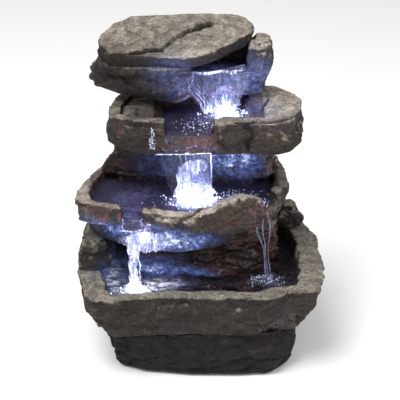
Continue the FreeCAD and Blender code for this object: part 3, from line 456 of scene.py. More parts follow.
def stone_height(p, normal, style):
    """How far each point of a stone is cut in: chiselled facets, sharp creases where a noise crosses zero, a rough
    grain, and beds that step with height."""
    q = p * style["squeeze"]
    face, border = facets(q, style["facet"], style["seed"])
    small, _ = facets(q + 0.5, style["facet"] * 0.4, style["seed"] + 20)
    steep = 1 - rise(np.abs(normal[:, 2]), 0.55, 0.95)
    cut = style["cut"]
    depth = cut * (0.15 - 0.75 * face) * (0.22 + 0.78 * steep) + cut * (0.1 - 0.42 * small) * (0.3 + 0.7 * steep)
    depth += 0.35 * cut * np.exp(-((border / 0.045) ** 2)) * steep
    crease = 1 - np.abs(layered(q, 0.022, style["seed"] + 40, 4, 0.55)) * 3
    depth += style["crease"] * np.clip(crease, 0, 1) ** 3 * rise(noise(q, 0.035, style["seed"] + 45), -0.35, 0.35)
    depth -= style["roll"] * layered(q, 0.009, style["seed"] + 48, 3, 0.65)
    beds = (p[:, 2] + 0.004 * noise(p, 0.03, style["seed"] + 50)) / style["bed"] % 1
    depth += style["beds"] * (rise(beds, 0, 0.2) - rise(beds, 0.55, 1)) * steep
    return depth


def capstone_cut(p, normal):
    """The slab's upper layer breaks off along a jagged diagonal: in front of the line the top lies lower, and a
    groove runs under the break, widest at its right end.  Painted shade lies in the groove and along a second crack."""
    gap, along = to_line(p, (0.006, 0.038), (-0.054, -0.010))
    gap = gap + 0.006 * noise(p, 0.015, 91) + 0.0024 * noise(p, 0.005, 92)
    top = rise(normal[:, 2], 0.4, 0.8)
    near = rise(along, -0.10, -0.02) * rise(1.2 - along, 0, 0.35)
    groove = np.exp(-(((gap - 0.0010) / (0.0007 + 0.0015 * rise(0.3 - along, 0, 0.4))) ** 2))
    step = 0.0026 * rise(gap, -0.0004, 0.0010) * rise(0.045 - gap, 0, 0.042)
    second, share = to_line(p, (-0.058, 0.030), (-0.030, -0.002))
    second = np.exp(-(((second + 0.004 * noise(p, 0.012, 93)) / 0.0009) ** 2)) * inside(share[:, None], 0, 1, 0.3)
    return top * (near * (step + 0.0026 * groove) + 0.0012 * second), top * (near * groove * 0.9 + 0.5 * second)


def middle_cut(p, normal):
    """A crack steps across the right block, from its front edge round to its right edge, with painted shade along
    it.
    """
    gap, _ = to_line(p, (0.030, -0.034), (0.078, -0.012))
    gap = gap + 0.004 * noise(p, 0.014, 95)
    near = rise(p[:, 0], 0.022, 0.034)
    top = rise(normal[:, 2], 0.4, 0.85)
    crack = np.exp(-((gap / 0.0011) ** 2)) * near
    return near * 0.0022 * top * rise(-gap, 0, 0.001) + 0.0022 * crack, 0.8 * crack


def lower_cut(p, normal):
    """A curved crack along the front rim, from the centre up to the hump at the right, with painted shade along it.
    """
    line = -0.0585 + 0.02 * rise(p[:, 0], -0.022, 0.020) + 0.0012 * noise(p, 0.006, 97)
    near = rise(p[:, 0], -0.03, -0.022) * rise(-p[:, 0], -0.030, -0.020)
    gap = p[:, 1] - line
    top = rise(normal[:, 2], 0.1, 0.7)
    crack = near * top * np.exp(-((gap / 0.0011) ** 2))
    return 0.0022 * crack + near * top * 0.0012 * rise(-gap, 0, 0.001), crack


def taper_cap(p):
    """The slab thins towards its front and right rims: below its top, it shrinks towards its middle."""
    below = np.clip(0.257 + 0.2 * p[:, 1] - p[:, 2], 0, 0.02) * rise(p[:, 0], -0.062, -0.030)
    below *= rise(-p[:, 1], -0.040, -0.010)
    p[:, :2] += (np.array([-0.018, 0.020]) - p[:, :2]) * (11.0 * below)[:, None]


def raise_ends(p):
    """The middle tier's pool is shallow at both ends: its floor and the foot of its wall rise to near the rim."""
    angles = np.linspace(-math.pi, math.pi, 361)
    wall = shoreline("middle_tier", middle_floor_z + 0.003, (0, 0), angles, 0.08)
    here = np.interp(np.arctan2(p[:, 1], p[:, 0]), angles, wall)
    within = rise(here + 0.0040 - np.hypot(p[:, 0], p[:, 1]), 0, 0.003) * (p[:, 2] > middle_floor_z - 0.002)
    ends = rise(p[:, 0], 0.030, 0.044) + 0.95 * rise(-p[:, 0], 0.026, 0.038)
    rim = middle_floor_z + 0.0105 - 0.0015 * noise(p, 0.012, 96)
    p[:, 2] += np.clip(rim - p[:, 2], 0, 0.014) * within * ends


SPECIAL = {"capstone": capstone_cut, "middle_tier": middle_cut, "lower_tier": lower_cut}
RESHAPE = {"capstone": taper_cap, "middle_tier": raise_ends}
# the size and depth of the facets, the depths of grain and creases, the pitch and step of the beds, and how much
# the pattern is squeezed along each axis
ROUGH = {"facet": 0.024, "cut": 0.0021, "roll": 0.0004, "crease": 0.0012, "bed": 0.011, "beds": 0.0003,
         "squeeze": (1, 1, 1.5)}
# each stone's paint, the pitch of its net, and what differs from ROUGH
STONES = {
    "pedestal": ("pedestal_stone", 0.0013, {"cut": 0.0022, "beds": 0.0005, "facet": 0.03}),
    "basin": ("basin_stone", 0.0013, {"cut": 0.0015, "beds": 0.0004}),
    "left_shoulder_stone": ("basin_stone", 0.0009, {"cut": 0.0024}),
    "right_chock_stone": ("basin_stone", 0.0008, {"facet": 0.012, "cut": 0.0016}),
    "grotto_wall": ("wet_stone", 0.0012, {"beds": 0.0011, "bed": 0.010, "facet": 0.026, "cut": 0.0034,
                                           "squeeze": (1, 1, 3.2), "roll": 0.0002}),
    "drip_ledge": ("wet_stone", 0.0011, {"squeeze": (1, 1, 2.5), "roll": 0.0002}),
    "lower_tier": ("tier_stone", 0.0011, {"cut": 0.0017}),
    "lower_neck": ("wet_stone", 0.0012, {"facet": 0.018, "cut": 0.0028}),
    "middle_tier": ("tier_stone", 0.0011, {"cut": 0.0018}),
    "upper_neck": ("wet_stone", 0.0010, {"facet": 0.012}),
    "upper_rock": ("tier_stone", 0.0011, {"cut": 0.0022}),
    "upper_side_stone": ("tier_stone", 0.0007, {"facet": 0.012, "cut": 0.0012}),
    "capstone": ("tier_stone", 0.0010, {"cut": 0.0013, "crease": 0.0008}),
    "river_pebbles": ("pebble_stone", 0.0008, {"cut": 0.0005, "roll": 0.0002, "crease": 0.0}),
}


def calm(p):
    """0 where a stone must keep its exact shape: the chamber, the sump, the duct and the rear window."""
    chamber = inside(p, (-0.056, -0.014, 0.010), (0.057, 0.0575, 0.123), 0.002)
    duct = inside(p, (-0.006, 0.027, 0.120), (0.030, 0.044, 0.232), 0.002)
    door = inside(p, (-0.035, 0.055, 0.080), (0.045, 0.070, 0.122), 0.003)
    under = inside(p, (-0.2, -0.2, -0.01), (0.2, 0.2, 0.0035), 0.001)
    return 1 - np.maximum.reduce([chamber, duct, door, under])


def make_stone(node, paint, pitch, changes, seed):
    """The node's even net, its edges chipped, cut in along its normals, with the attributes that the paint reads."""
    style = {**ROUGH, **changes, "seed": seed}
    style["squeeze"] = np.array(style["squeeze"])
    verts, quads, edges = even_net(node, pitch * (1.0))
    verts = smoothed(verts, edges, 2)
    still = calm(verts)[:, None]
    lie = smoothed(vertex_normals(verts, quads), edges, 4)[:, 2:]
    still = still * rise(lie, -0.9, -0.5) * (1 - rise(lie, 0.6, 0.9) * (node == "upper_rock"))
    chips = rise(layered(verts, 0.012, seed + 60, 3, 0.6), -0.25, 0.30)[:, None]
    verts = verts + (smoothed(verts, edges, 11) - verts) * still * chips
    normal = vertex_normals(verts, quads)
    broad_normal = smoothed(normal, edges, 4)
    depth = stone_height(verts, broad_normal, style)
    crack_shade = np.zeros(len(verts))
    if node in SPECIAL:
        extra, crack_shade = SPECIAL[node](verts, broad_normal)
        depth = depth + extra
    verts = verts - normal * depth[:, None] * still
    verts[:, 2] = np.maximum(verts[:, 2], 0.0)
    if node in RESHAPE:
        RESHAPE[node](verts)
    normal = vertex_normals(verts, quads)
    bulge = ((verts - smoothed(verts, edges, 8)) * normal).sum(1) / RELIEF
    bulge = smoothed(bulge[:, None], edges, 1)[:, 0]
    wet = np.zeros(len(verts))
    for lo, hi in WET:
        wet = np.maximum(wet, inside(verts, MM * np.array(lo), MM * np.array(hi), 0.004))
    facing = smoothed(normal, edges, 3)
    front = rise(-facing[:, 1] + 0.6 * facing[:, 2], -0.3, 0.4)
    # edge: convex edges, worn and a painted highlight; the hollows' attribute: painted shade in hollows and cracks
    obj = new_mesh(f"{node}_carved", verts, quads, {
        "up": facing[:, 2], "edge": np.clip(bulge * 0.6 - 0.3, 0, 1),
        "hollow_shade": np.clip(-bulge * 0.5 - 0.3, 0, 1) + crack_shade, "wet": wet, "lit": patches(verts, LIT) * front,
        "shade": np.clip(patches(verts, SHADE), -1.2, 1)})
    obj.data.materials.append(STONE_PAINTS[paint])
    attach(obj, "fountain")
    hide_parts(node)


for order, (node, (paint, pitch, changes)) in enumerate(STONES.items()):
    make_stone(node, paint, pitch, changes, 100 * order + 11)


# ---------------- water
def water_paint(name, colour, foam_and_sheen_colour, tint, streak, feature, alpha, glow, bump):
    """Water: see-through and glossy, with ripples drawn out along the fall.  The veil attribute makes it denser and
    whiter: foam in the falls and foam mounds, painted glints on the drops, painted lamp light and reflection on the
    pools.  The bright attribute paints the lamps' light on it as a glow."""
    m = Paint(name)
    veil, bright = m.attribute("veil"), m.attribute("bright")
    ripples = m.noise(feature, 4.0, 0.62, stretch=streak, contrast=(0.38, 0.66))
    fine = m.noise(feature * 0.4, 4.0, 0.7, stretch=streak, contrast=(0.42, 0.66))
    shine = bright * (0.12 + ripples * 0.65 + fine * 0.75)
    hot = (shine * 1.2 - 0.35).clamped()
    emission = (shine * glow).times_colour(hot.mix(tint, (0.88, 0.92, 1.0)))
    see = (veil * (0.25 + ripples * 0.9 + fine * 0.5) + alpha).clamped()
    return m.finish((veil * fine).mix(colour, foam_and_sheen_colour), 0.07, ripples * 0.8 + fine * 0.35, bump, 0.8,
                    Alpha=see, IOR=1.33, Specular_IOR_Level=0.5, Emission_Color=emission, Emission_Strength=1.0)


# the lavender second colours of the pool and shallow paints are painted reflection of the surround
POOL_PAINT = water_paint("pool_water", (0.030, 0.026, 0.058), (0.24, 0.23, 0.42), (0.16, 0.17, 0.44),
                         (0.6, 1.4, 1), 0.008, 0.42, 1.1, 0.0012)
SHALLOW_PAINT = water_paint("shallow_water", (0.022, 0.018, 0.030), (0.3, 0.3, 0.42), (0.20, 0.23, 0.46),
                            (0.5, 1.3, 1.3), 0.009, 0.05, 1.2, 0.0012)
FALL_PAINT = water_paint("falling_water", (0.20, 0.21, 0.33), (0.75, 0.8, 0.95), (0.40, 0.44, 0.85),
                         (1.0, 1.0, 0.14), 0.0026, 0.03, 1.5, 0.0008)
DROP_PAINT = water_paint("water_drops", (0.5, 0.55, 0.8), (0.8, 0.85, 1.0), (0.5, 0.58, 1.0), (1, 1, 1), 0.003,
                         0.45, 1.6, 0.0006)


def water_piece(obj, paint):
    """Water is there for its looks only: it rides with the fountain and stands for no node."""
    obj.data.materials.append(paint)
    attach(obj, "fountain")


def ring_faces(rows, columns):
    """Quads of a closed tube of rings, with a fan to a pole before the first ring and after the last."""
    grid = 1 + np.arange(rows * columns).reshape(rows, columns)
    turned = np.roll(grid, -1, axis=1)
    quads = np.stack([grid[:-1], turned[:-1], turned[1:], grid[1:]], -1).reshape(-1, 4)
    first = np.stack([np.zeros(columns, int), turned[0], grid[0]], 1)
    last = np.stack([np.full(columns, rows * columns + 1), grid[-1], turned[-1]], 1)
    return quads.tolist() + first.tolist() + last.tolist()


def smooth_line(points, count):
    """A Catmull-Rom curve through the points: cubic between each two, with slopes from their neighbours."""
    p = np.array(points, float)
    p = np.vstack([2 * p[0] - p[1], p, 2 * p[-1] - p[-2]])
    t = np.linspace(0, len(p) - 3, count)
    k = np.minimum(t.astype(int), len(p) - 4)
    f = (t - k)[:, None]
    a, b, c, d = p[k], p[k + 1], p[k + 2], p[k + 3]
    return 0.5 * (2 * b + (c - a) * f + (2 * a - 5 * b + 4 * c - d) * f**2 + (3 * b - a - 3 * c + d) * f**3)


def outward(verts, faces):
    """The faces, all turned over if the volume that they close is negative."""
    fans = np.array([(f[0], f[k], f[k + 1]) for f in faces for k in range(1, len(f) - 1)])
    a, b, c = verts[fans[:, 0]], verts[fans[:, 1]], verts[fans[:, 2]]
    return faces if (a * np.cross(b, c)).sum() > 0 else [face[::-1] for face in faces]


def strand(name, points, widths, depths, veil, bright, seed, rows=90, columns=32, ripple=0.25, wander=0.6,
           paint=FALL_PAINT):
    """A fall of water: an ellipse carried down a smooth line, its width across the line in the plane of X and Z and
    its depth along Y, its radius rippled by noise that is drawn out along the fall, and pinched shut at both ends.
    Widths, depths, veil and bright are lists along the line.  Lengths are in millimetres."""
    v = np.linspace(0, 1, rows)
    centre = MM * smooth_line(points, rows)

    def along(values):
        return np.interp(v, np.linspace(0, 1, len(values)), values)

    path = np.gradient(centre, axis=0)[:, [0, 2]]
    path = path / np.maximum(np.linalg.norm(path, axis=1, keepdims=True), 1e-9)
    a = np.linspace(0, 2 * math.pi, columns, endpoint=False)
    around = np.stack([np.broadcast_to(np.cos(a), (rows, columns)), np.broadcast_to(np.sin(a), (rows, columns)),
                       np.broadcast_to(v[:, None] * 4, (rows, columns))], -1).reshape(-1, 3)
    wave = 1 + ripple * layered(around, 0.45, seed, 3, 0.7).reshape(rows, columns)
    pinch = np.sqrt(np.clip(np.minimum(v, 1 - v) * rows / 3, 0.05, 1))[:, None]
    wide = MM * along(widths)[:, None] / 2 * np.cos(a) * wave * pinch
    deep = MM * along(depths)[:, None] / 2 * np.sin(a) * wave * pinch
    sway = MM * wander * np.stack([noise(np.stack([v * 9, v * 0, v * 0 + k], 1), 1.0, seed + 5) for k in (0, 7)], 1)
    x = centre[:, None, 0] + wide * -path[:, None, 1] + sway[:, None, 0]
    y = centre[:, None, 1] + deep + sway[:, None, 1]
    z = centre[:, None, 2] + wide * path[:, None, 0]
    verts = np.vstack([centre[:1], np.stack([x, y, z], -1).reshape(-1, 3), centre[-1:]])

    def per_vertex(values):
        rowed = np.repeat(along(values), columns)
        return np.concatenate([rowed[:1], rowed, rowed[-1:]])

    obj = new_mesh(name, verts, outward(verts, ring_faces(rows, columns)),
                   {"veil": per_vertex(veil), "bright": per_vertex(bright)})
    water_piece(obj, paint)


def disc(centre, reach_x, reach_y, rows):
    """Rings round a centre, all at its height, out to the reach at each angle; and each point's share of it."""
    angles = np.linspace(0, 2 * math.pi, len(reach_x), endpoint=False)
    share = np.linspace(1 / rows, 1, rows)[:, None]
    x = centre[0] + share * reach_x * np.cos(angles)
    y = centre[1] + share * reach_y * np.sin(angles)
    flat = np.stack([x, y, np.full_like(x, centre[2])], -1).reshape(-1, 3)
    return flat, np.repeat(share[:, 0], len(angles))


def under_too(values, rows, first, last):
    """A sheet's values: its first pole's, those of its rings outwards, the same inwards, and its last pole's."""
    return np.concatenate([[first], values, values.reshape(rows, -1)[::-1].ravel(), [last]])


def sheet(name, flat, height, thick, poles, attributes, rows, paint):
    """A closed piece of water: the rings of a disc lifted by height, and underneath the same rings, thick lower."""
    low = (flat - np.array([0, 0, thick])).reshape(rows, -1, 3)[::-1].reshape(-1, 3)
    verts = np.vstack([poles[0], flat + np.array([0, 0, 1]) * height[:, None], low, poles[1]])
    faces = outward(verts, ring_faces(2 * rows, len(flat) // rows))
    water_piece(new_mesh(name, verts, faces, attributes), paint)


def pool(name, node, level, centre, cuts, rings_and_glows, paint, far=200, rows=56, columns=260):
    """A pool: a thin closed sheet whose outline is the shoreline, kept behind each cut (a point and the direction
    beyond it), and whose top carries rings that spread from the given points (x, y, power) plus small noise.  Round
    these points and the lit patches the water is whiter and glows: painted lamp light, and painted reflection
    where no water lands.  Lengths are in millimetres, and the level is in metres."""
    x, y = MM * np.array(centre)
    angles = np.linspace(0, 2 * math.pi, columns, endpoint=False)
    reach = shoreline(node, level, (x, y), angles, MM * far)
    for (cx, cy), (nx, ny) in cuts:
        toward = np.cos(angles) * nx + np.sin(angles) * ny
        limit = ((MM * cx - x) * nx + (MM * cy - y) * ny) / np.maximum(toward, 1e-6)
        reach = np.minimum(reach, np.where(toward > 1e-6, limit, MM * far))
    reach = reach + UNDER_BANK
    flat, share = disc((x, y, level), reach, reach, rows)
    height = POOL_SWELL * layered(flat, 0.008, 41, 3, 0.6)
    # painted lamp light on the water, from the lit patches and round each point
    bright = 0.25 * patches(flat, LIT)
    for px, py, power in rings_and_glows:
        away = np.hypot(flat[:, 0] - MM * px, flat[:, 1] - MM * py)
        height += power * RING_HEIGHT * np.cos(away / RING_PITCH) * np.exp(-away / RING_REACH)
        bright += power * np.exp(-((away / GLOW_REACH) ** 2))
    height *= 1 - share**6
    values = under_too(bright, rows, bright[0], bright[columns - 1])
    sheet(name, flat, height, POOL_THICKNESS, [(x, y, level), (x, y, level - POOL_THICKNESS)],
          {"veil": 0.12 + 0.45 * values, "bright": values}, rows, paint)


# Only the first two basin points are landings; the others paint lamp light and reflections on the water.
pool("basin_water", "basin", basin_level, (-10, -48), [],
     [(-52, -50, 1.3), (55, -40, 0.25), (-36, -43, 0.9), (-20, -40, 0.5), (-68, -46, 0.6), (-72, -30, 0.6),
      (-74, -12, 0.4)], SHALLOW_PAINT)
pool("lower_tier_water", "lower_tier", lower_level, (-16, -20),
     [((0, -52), (0, -1)), ((53.5, -26.5), (0.616, -0.788))],
     [(-6, -24, 1.3), (6, -26, 0.8), (-16, -26, 0.6), (-60, -20, 0.25), (-45, -12, 0.2), (30, -20, 0.3),
      (-52, -40, 0.3)], POOL_PAINT)
pool("middle_tier_water", "middle_tier", middle_level, (0, 0), [((0, -32.5), (0, -1))],
     [(18, 6, 1.2), (28, 0, 0.6), (0, -6, 0.25)], POOL_PAINT)
pool("upper_rock_water", "upper_rock", upper_level, (14, 26), [((0, 14.5), (0, -1))], [(12, 18, 0.15)],
     POOL_PAINT, far=30)

# upper fall: a clear sheet off the wide lip, with thin threads that gather towards the lamp
strand("upper_lip_line", [(-14, 10, 230), (-4, 11, 231.6), (6, 10, 231.4), (16, 10.5, 232.8),
       (26, 10.5, 232.2), (34, 11.5, 233.6)], [0.4, 1.6, 2.6, 2, 2.8, 1], [1.4, 1.4, 1.4],
       [0.3, 0.7, 0.9, 0.8, 0.9], [0.3, 0.6, 1, 0.8, 1.1], 300, columns=12, ripple=0.8, wander=1.2)
strand("upper_sheet", [(13, 12.5, 233.5), (13.5, 9, 230), (14.5, 8, 215), (18, 7, 201)], [46, 46, 37, 27],
       [2.6, 1.8, 1.4, 2], [0.12, 0.08, 0.12, 0.3], [0.4, 0.24, 0.3, 0.7], 301, columns=72, ripple=0.35)
for k in range(18):
    x = -15 + 3.1 * k + rng.normal(0, 0.7)
    strand(f"upper_thread_{k + 1}",
           [(x, 10.5, 232.5 + rng.normal(0, 0.8)), (x + rng.normal(0, 0.8), 6.5, 224),
            (0.62 * x + 7.2 + rng.normal(0, 0.8), 4.5, 213), (0.45 * x + 11, 3.5, 201.5)],
           [0.9, 0.6, 0.8, 1.2], [0.8, 0.6, 0.7, 1], [0.35, 0.25, 0.45, 0.9],
           [0.5 * min(1, 0.25 + 0.12 * k), 0.3, 0.5, 1.2], 320 + 7 * k, columns=8, ripple=0.6, wander=0.9)

# middle curtain: a clear film over the notch, a bright bottom line, and the free sheet below it
strand("middle_film", [(-8.5, -28, 199), (-8.5, -36.5, 197.5), (-8.5, -37.5, 188), (-8.5, -38.5, 180.5)],
       [34, 34, 33, 33], [1.2, 1, 0.8, 1], [0.06, 0.03, 0.02, 0.02], [0.25, 0.03, 0.02, 0.04], 401,
       columns=64, ripple=0.12)
strand("middle_line", [(-34, -38.5, 184.2), (-12, -39.2, 184.5), (9, -38.5, 185)], [0.9, 0.8, 0.9],
       [1.2, 1, 1.2], [0.9, 0.7, 0.9], [0.75, 0.6, 1], 411, columns=10)
strand("middle_sheet", [(-11, -38.5, 184), (-9, -38, 166), (-6, -37.5, 150), (-4, -37, 136.5)],
       [38, 33, 28, 26], [1, 0.9, 1, 1.6], [0.03, 0.03, 0.06, 0.3], [0.08, 0.16, 0.3, 0.9], 421, columns=64,
       ripple=0.2)
strand("middle_edge", [(8.5, -39, 185), (8.2, -38.8, 160), (8.5, -38.5, 136.5)], [1.3, 1, 1.8], [1.2, 1, 1.4],
       [0.8, 0.6, 0.9], [0.9, 0.6, 1.2], 431, columns=12)
strand("middle_hook", [(6.5, -17, 165), (-4, -17.5, 164), (-12, -18.5, 157.5), (-12.5, -21, 147),
       (-8, -24, 137)], [7, 11, 11, 11, 15], [2, 3, 3, 4, 6], [0.35, 0.55, 0.4, 0.6, 1],
       [0.6, 0.95, 0.75, 1.1, 1.9], 441, columns=48, ripple=0.8, wander=1)
strand("middle_core", [(0, -19.5, 160), (1, -20, 153), (2, -22, 145), (1, -24, 137)], [8, 12, 16, 22],
       [2, 3, 5, 6], [0.15, 0.25, 0.7, 1], [0.25, 0.35, 1.1, 1.9], 451, columns=48, ripple=0.7)
for k in range(7):
    x = -14 + 3.5 * k + rng.normal(0, 0.6)
    strand(f"middle_thread_{k + 1}", [(x - 1, -39, 184.2), (0.9 * x, -38.8, 160), (0.8 * x, -38, 137)],
           [0.7, 0.5, 1], [0.6, 0.5, 0.8], [0.5, 0.3, 0.8], [0.4, 0.28, 0.9], 460 + 7 * k, columns=8, ripple=0.6,
           wander=1)

# left stream: a film down the notch with a bright lower edge, then a lumpy column into the basin
strand("left_film", [(-52, -46, 137.5), (-52, -57.5, 136.5), (-52, -59, 133), (-52.5, -59, 128.5)],
       [14, 15, 15, 15], [1.4, 1.4, 1.4, 1.6], [0.35, 0.3, 0.2, 0.2], [0.35, 0.3, 0.12, 0.25], 501,
       columns=36, paint=POOL_PAINT)
strand("left_edge", [(-59.2, -60, 129.8), (-52, -60.6, 129.3), (-44.8, -60, 130)], [1.2, 0.9, 1.2],
       [1.2, 1, 1.2], [0.9, 0.7, 0.9], [1, 0.7, 1.1], 505, columns=10)
for k, x in enumerate((-59.2, -44.8)):
    strand(f"left_rivulet_{k + 1}", [(x, -56, 138), (x, -60, 135.5), (x, -60.2, 129.8)], [0.8, 0.6, 1],
           [0.8, 0.6, 1], [0.7, 0.5, 0.8], [0.5, 0.35, 0.8], 507 + k, rows=40, columns=8)
strand("left_spill", [(-50.5, -59, 127), (-48, -58, 121), (-48, -57, 113)], [18, 17, 12], [2.6, 3, 3],
       [0.35, 0.55, 0.4], [0.75, 0.95, 0.7], 511, columns=40, ripple=0.7)
# spray over the lamp at the ledge, its glow painted lamp light
strand("left_spray_glow", [(-64, -57, 119.5), (-48, -59, 118.5), (-34, -57.5, 117.5), (-24, -56, 116.5)],
       [4, 13, 13, 4], [2, 4, 3, 2], [0.05, 0.45, 0.45, 0.05], [0.2, 0.75, 0.7, 0.2], 515, columns=48,
       ripple=0.9)
strand("left_column", [(-51, -56.5, 116), (-51.8, -55, 100), (-52.5, -53.5, 84), (-52, -52.5, 69.5)],
       [8, 6.2, 6.2, 8.5], [4.4, 3.6, 3.6, 5.6], [0.6, 0.6, 0.55, 0.9], [1.1, 0.9, 0.8, 1.6], 521, columns=30,
       ripple=0.75, wander=1.2)
for k in range(4):
    shift = rng.normal(0, 2.2)
    strand(f"left_thread_{k + 1}",
           [(-51 + shift, -58.5, 118), (-52 + 1.3 * shift, -57, 95), (-52.5 + 1.1 * shift, -55.5, 70)],
           [1.6, 1, 1.8], [1.4, 1, 1.6], [0.9, 0.6, 0.9], [1.2, 0.8, 1.3], 560 + 7 * k, columns=8, ripple=0.6,
           wander=1.2)

# right stream: three fine threads
for k, (x0, x1, w) in enumerate([(47.5, 53, 1.1), (50, 55.5, 0.8), (52.5, 58, 0.7)]):
    strand(f"right_thread_{k + 1}",
           [(x0 + 2, -26, 138.5), (x0, -33.5, 134), (x0 + 2.5 * (k - 1), -35.5, 118),
            (0.5 * (x0 + x1) + 1 - k, -36.5, 98), (x1, -37, 69.5)],
           [w * 1.6, w * 1.3, w, w, w * 1.3], [w] * 5, [0.5, 0.5, 0.25, 0.25, 0.4],
           [0.35, 0.5, 0.26, 0.24, 0.4], 541 + 9 * k, columns=8, ripple=0.5)


def icosahedron():
    """The 12 corners of an icosahedron on the unit sphere and its 20 faces."""
    ball = bmesh.new()
    bmesh.ops.create_icosphere(ball, subdivisions=1, radius=1.0)
    corners = np.array([v.co[:] for v in ball.verts])
    faces = np.array([[v.index for v in f.verts] for f in ball.faces])
    ball.free()
    return corners, faces


def drops(name, centres, radii, bright):
    """Many small drops: the same 20-faced ball at each centre, drawn out a little downwards, white and glowing by
    bright as painted glints.
    """
    corners, faces = icosahedron()
    stretch = np.array([1.0, 1.0, 1.3])
    verts = (centres[:, None, :] + radii[:, None, None] * corners * stretch).reshape(-1, 3)
    all_faces = (faces[None] + (np.arange(len(centres)) * len(corners))[:, None, None]).reshape(-1, 3)
    obj = new_mesh(name, verts, all_faces, {"veil": np.ones(len(verts)), "bright": np.repeat(bright, len(corners))})
    water_piece(obj, DROP_PAINT)


def spray(name, centre, spread, count, size, strength, lift=0.010):
    """Drops thrown up round a landing: most lie near the centre, and the farther out, the lower they fly.  Their
    glow, by the strength, is painted glints.
    """
    away = rng.normal(0, 1, (count, 2)) * np.array(spread)
    share = np.abs(away / np.array(spread)).mean(1)
    up = rng.uniform(0, 1, count) * lift * np.exp(-share)
    centres = np.stack([centre[0] + away[:, 0], centre[1] + away[:, 1], centre[2] + up], 1)
    radii = size * rng.uniform(0.4, 1.0, count) ** 2
    drops(name, centres, radii, strength * rng.uniform(0.5, 1.2, count))


spray("upper_spray", (0.021, 0.001, middle_level + 0.001), (0.008, 0.005), 320, 0.0007, 1.5)
spray("middle_pool_spray", (-0.002, -0.020, middle_level + 0.0004), (0.008, 0.007), 110, 0.00040, 0.9, 0.002)
spray("lower_spray", (-0.004, -0.028, lower_level + 0.001), (0.012, 0.006), 380, 0.0007, 1.5)
spray("lower_right_spray", (0.026, -0.020, lower_level + 0.001), (0.014, 0.007), 160, 0.0004, 0.8, 0.004)
spray("left_spray", (-0.052, -0.052, basin_level + 0.001), (0.006, 0.005), 260, 0.0007, 1.3, 0.006)
spray("right_spray", (0.055, -0.038, basin_level + 0.001), (0.008, 0.004), 200, 0.0004, 0.6, 0.008)
# a trickle of drops down the middle tier's left block, glowing as painted glints on the wet rock
count = 60
fallen = np.linspace(0, 1, count)
path = [-0.0362 + rng.normal(0, 0.0013, count), np.full(count, -0.0372), 0.2050 - 0.017 * fallen**0.8]
drops("left_trickle_glints", np.stack(path, 1), 0.0005 * rng.uniform(0.3, 1, count), 0.9 * rng.uniform(0.1, 1.0, count))


def foam(name, centre, radii, height, strength, seed, rows=26, columns=60):
    """Foam over a landing: a low mound, height times (1 - r^2), roughened by noise, closed by a flat underside.
    It glows by the strength, most at its middle, as painted lamp light.
    """
    a = np.linspace(0, 2 * math.pi, columns, endpoint=False)
    ragged = 1 + 0.35 * noise(np.stack([np.cos(a), np.sin(a), a * 0], 1), 0.45, seed)
    flat, share = disc(centre, ragged * radii[0], ragged * radii[1], rows)
    fade = 1 - share**2
    lump = height * fade * (1 + 0.5 * layered(flat, 0.003, seed + 1, 3, 0.7))
    values = under_too(fade, rows, 1, 1)
    sheet(name, flat, lump, FOAM_THICKNESS, [np.array(centre) + (0, 0, height), centre],
          {"veil": values * 1.2 - 0.05, "bright": values * strength}, rows, DROP_PAINT)


foam("upper_foam", (0.024, 0.000, middle_level), (0.010, 0.005), 0.003, 1.8, 601)
foam("lower_foam", (-0.002, -0.030, lower_level), (0.014, 0.009), 0.004, 2.0, 611)
foam("left_foam", (-0.048, -0.052, basin_level), (0.010, 0.007), 0.003, 1.5, 621)


def burst(name, centre, count, reach, squash, seed):
    """Painted glints round a lamp: a star of thin glowing strands from the centre, at even angles with a little
    jitter.
    """
    centre = np.array(centre, float)
    for k in range(count):
        angle = 2 * math.pi * (k + 0.35 * rng.normal()) / count
        size = reach * rng.uniform(0.35, 1.0)
        tip = centre + size * np.array([math.cos(angle), 0, squash * math.sin(angle)])
        strand(f"{name}_{k + 1}", [centre, (centre + tip) / 2, tip], [3, 1.4, 0.3], [2, 1, 0.3], [1, 0.6, 0.2],
               [2.2, 1.2, 0.4], seed + 5 * k, rows=24, columns=8)


burst("upper_glint", (19.5, 2, 204), 16, 14, 0.7, 700)
burst("lower_glint", (-4, -30, 140), 12, 10, 0.7, 800)


# ---------------- fittings
def plastic_paint(name, colour, roughness, grain=0.0006, depth=0.00006, **sockets):
    """Moulded plastic: a fine spark-eroded grain, with slight wear in its gloss and tone."""
    m = Paint(name)
    fine, broad = m.noise(grain, 3.0, 0.6), m.noise(0.012, 4.0, 0.6)
    tone = (broad * 0.7 + fine * 0.3).mix([c * 0.75 for c in colour], [min(1, c * 1.3 + 0.004) for c in colour])
    return m.finish(tone, (broad - 0.5) * 0.25 + roughness, fine, depth, 0.8, **sockets)


def rubber_paint(name, colour):
    """Rubber: matt, with a dusty bloom in patches and a very fine grain."""
    m = Paint(name)
    bloom = m.noise(0.006, 5.0, 0.65, contrast=(0.4, 0.75))
    tone = (bloom * 0.5).mix(colour, [c * 2.2 + 0.01 for c in colour])
    return m.finish(tone, 0.72 + bloom * 0.18, m.noise(0.0004), 0.00005, 0.7)


def lens_paint(name):
    """A lit lens: bluish white, whiter in the patches where its frosting is thick."""
    m = Paint(name)
    frost = m.noise(0.0016, 3.0, 0.6, contrast=(0.3, 0.7))
    tint = frost.mix((0.70, 0.78, 1.0), (0.95, 0.97, 1.0))
    return m.finish(tint, 0.15, frost, 0.0001, 0.4, Emission_Color=tint, Emission_Strength=1.1, IOR=1.5)


def steel_paint(name):
    """Stainless steel: turning marks drawn out across the axis, with small stains."""
    m = Paint(name)
    marks = m.noise(0.0004, 3.0, 0.6, stretch=(1, 1, 8))
    stain = m.noise(0.004, 4.0, 0.6, contrast=(0.5, 0.8))
    return m.finish((stain * 0.4).mix((0.62, 0.61, 0.59), (0.35, 0.31, 0.27)), 0.25 + marks * 0.2, marks, 0.00003,
                    0.6, Metallic=1.0)


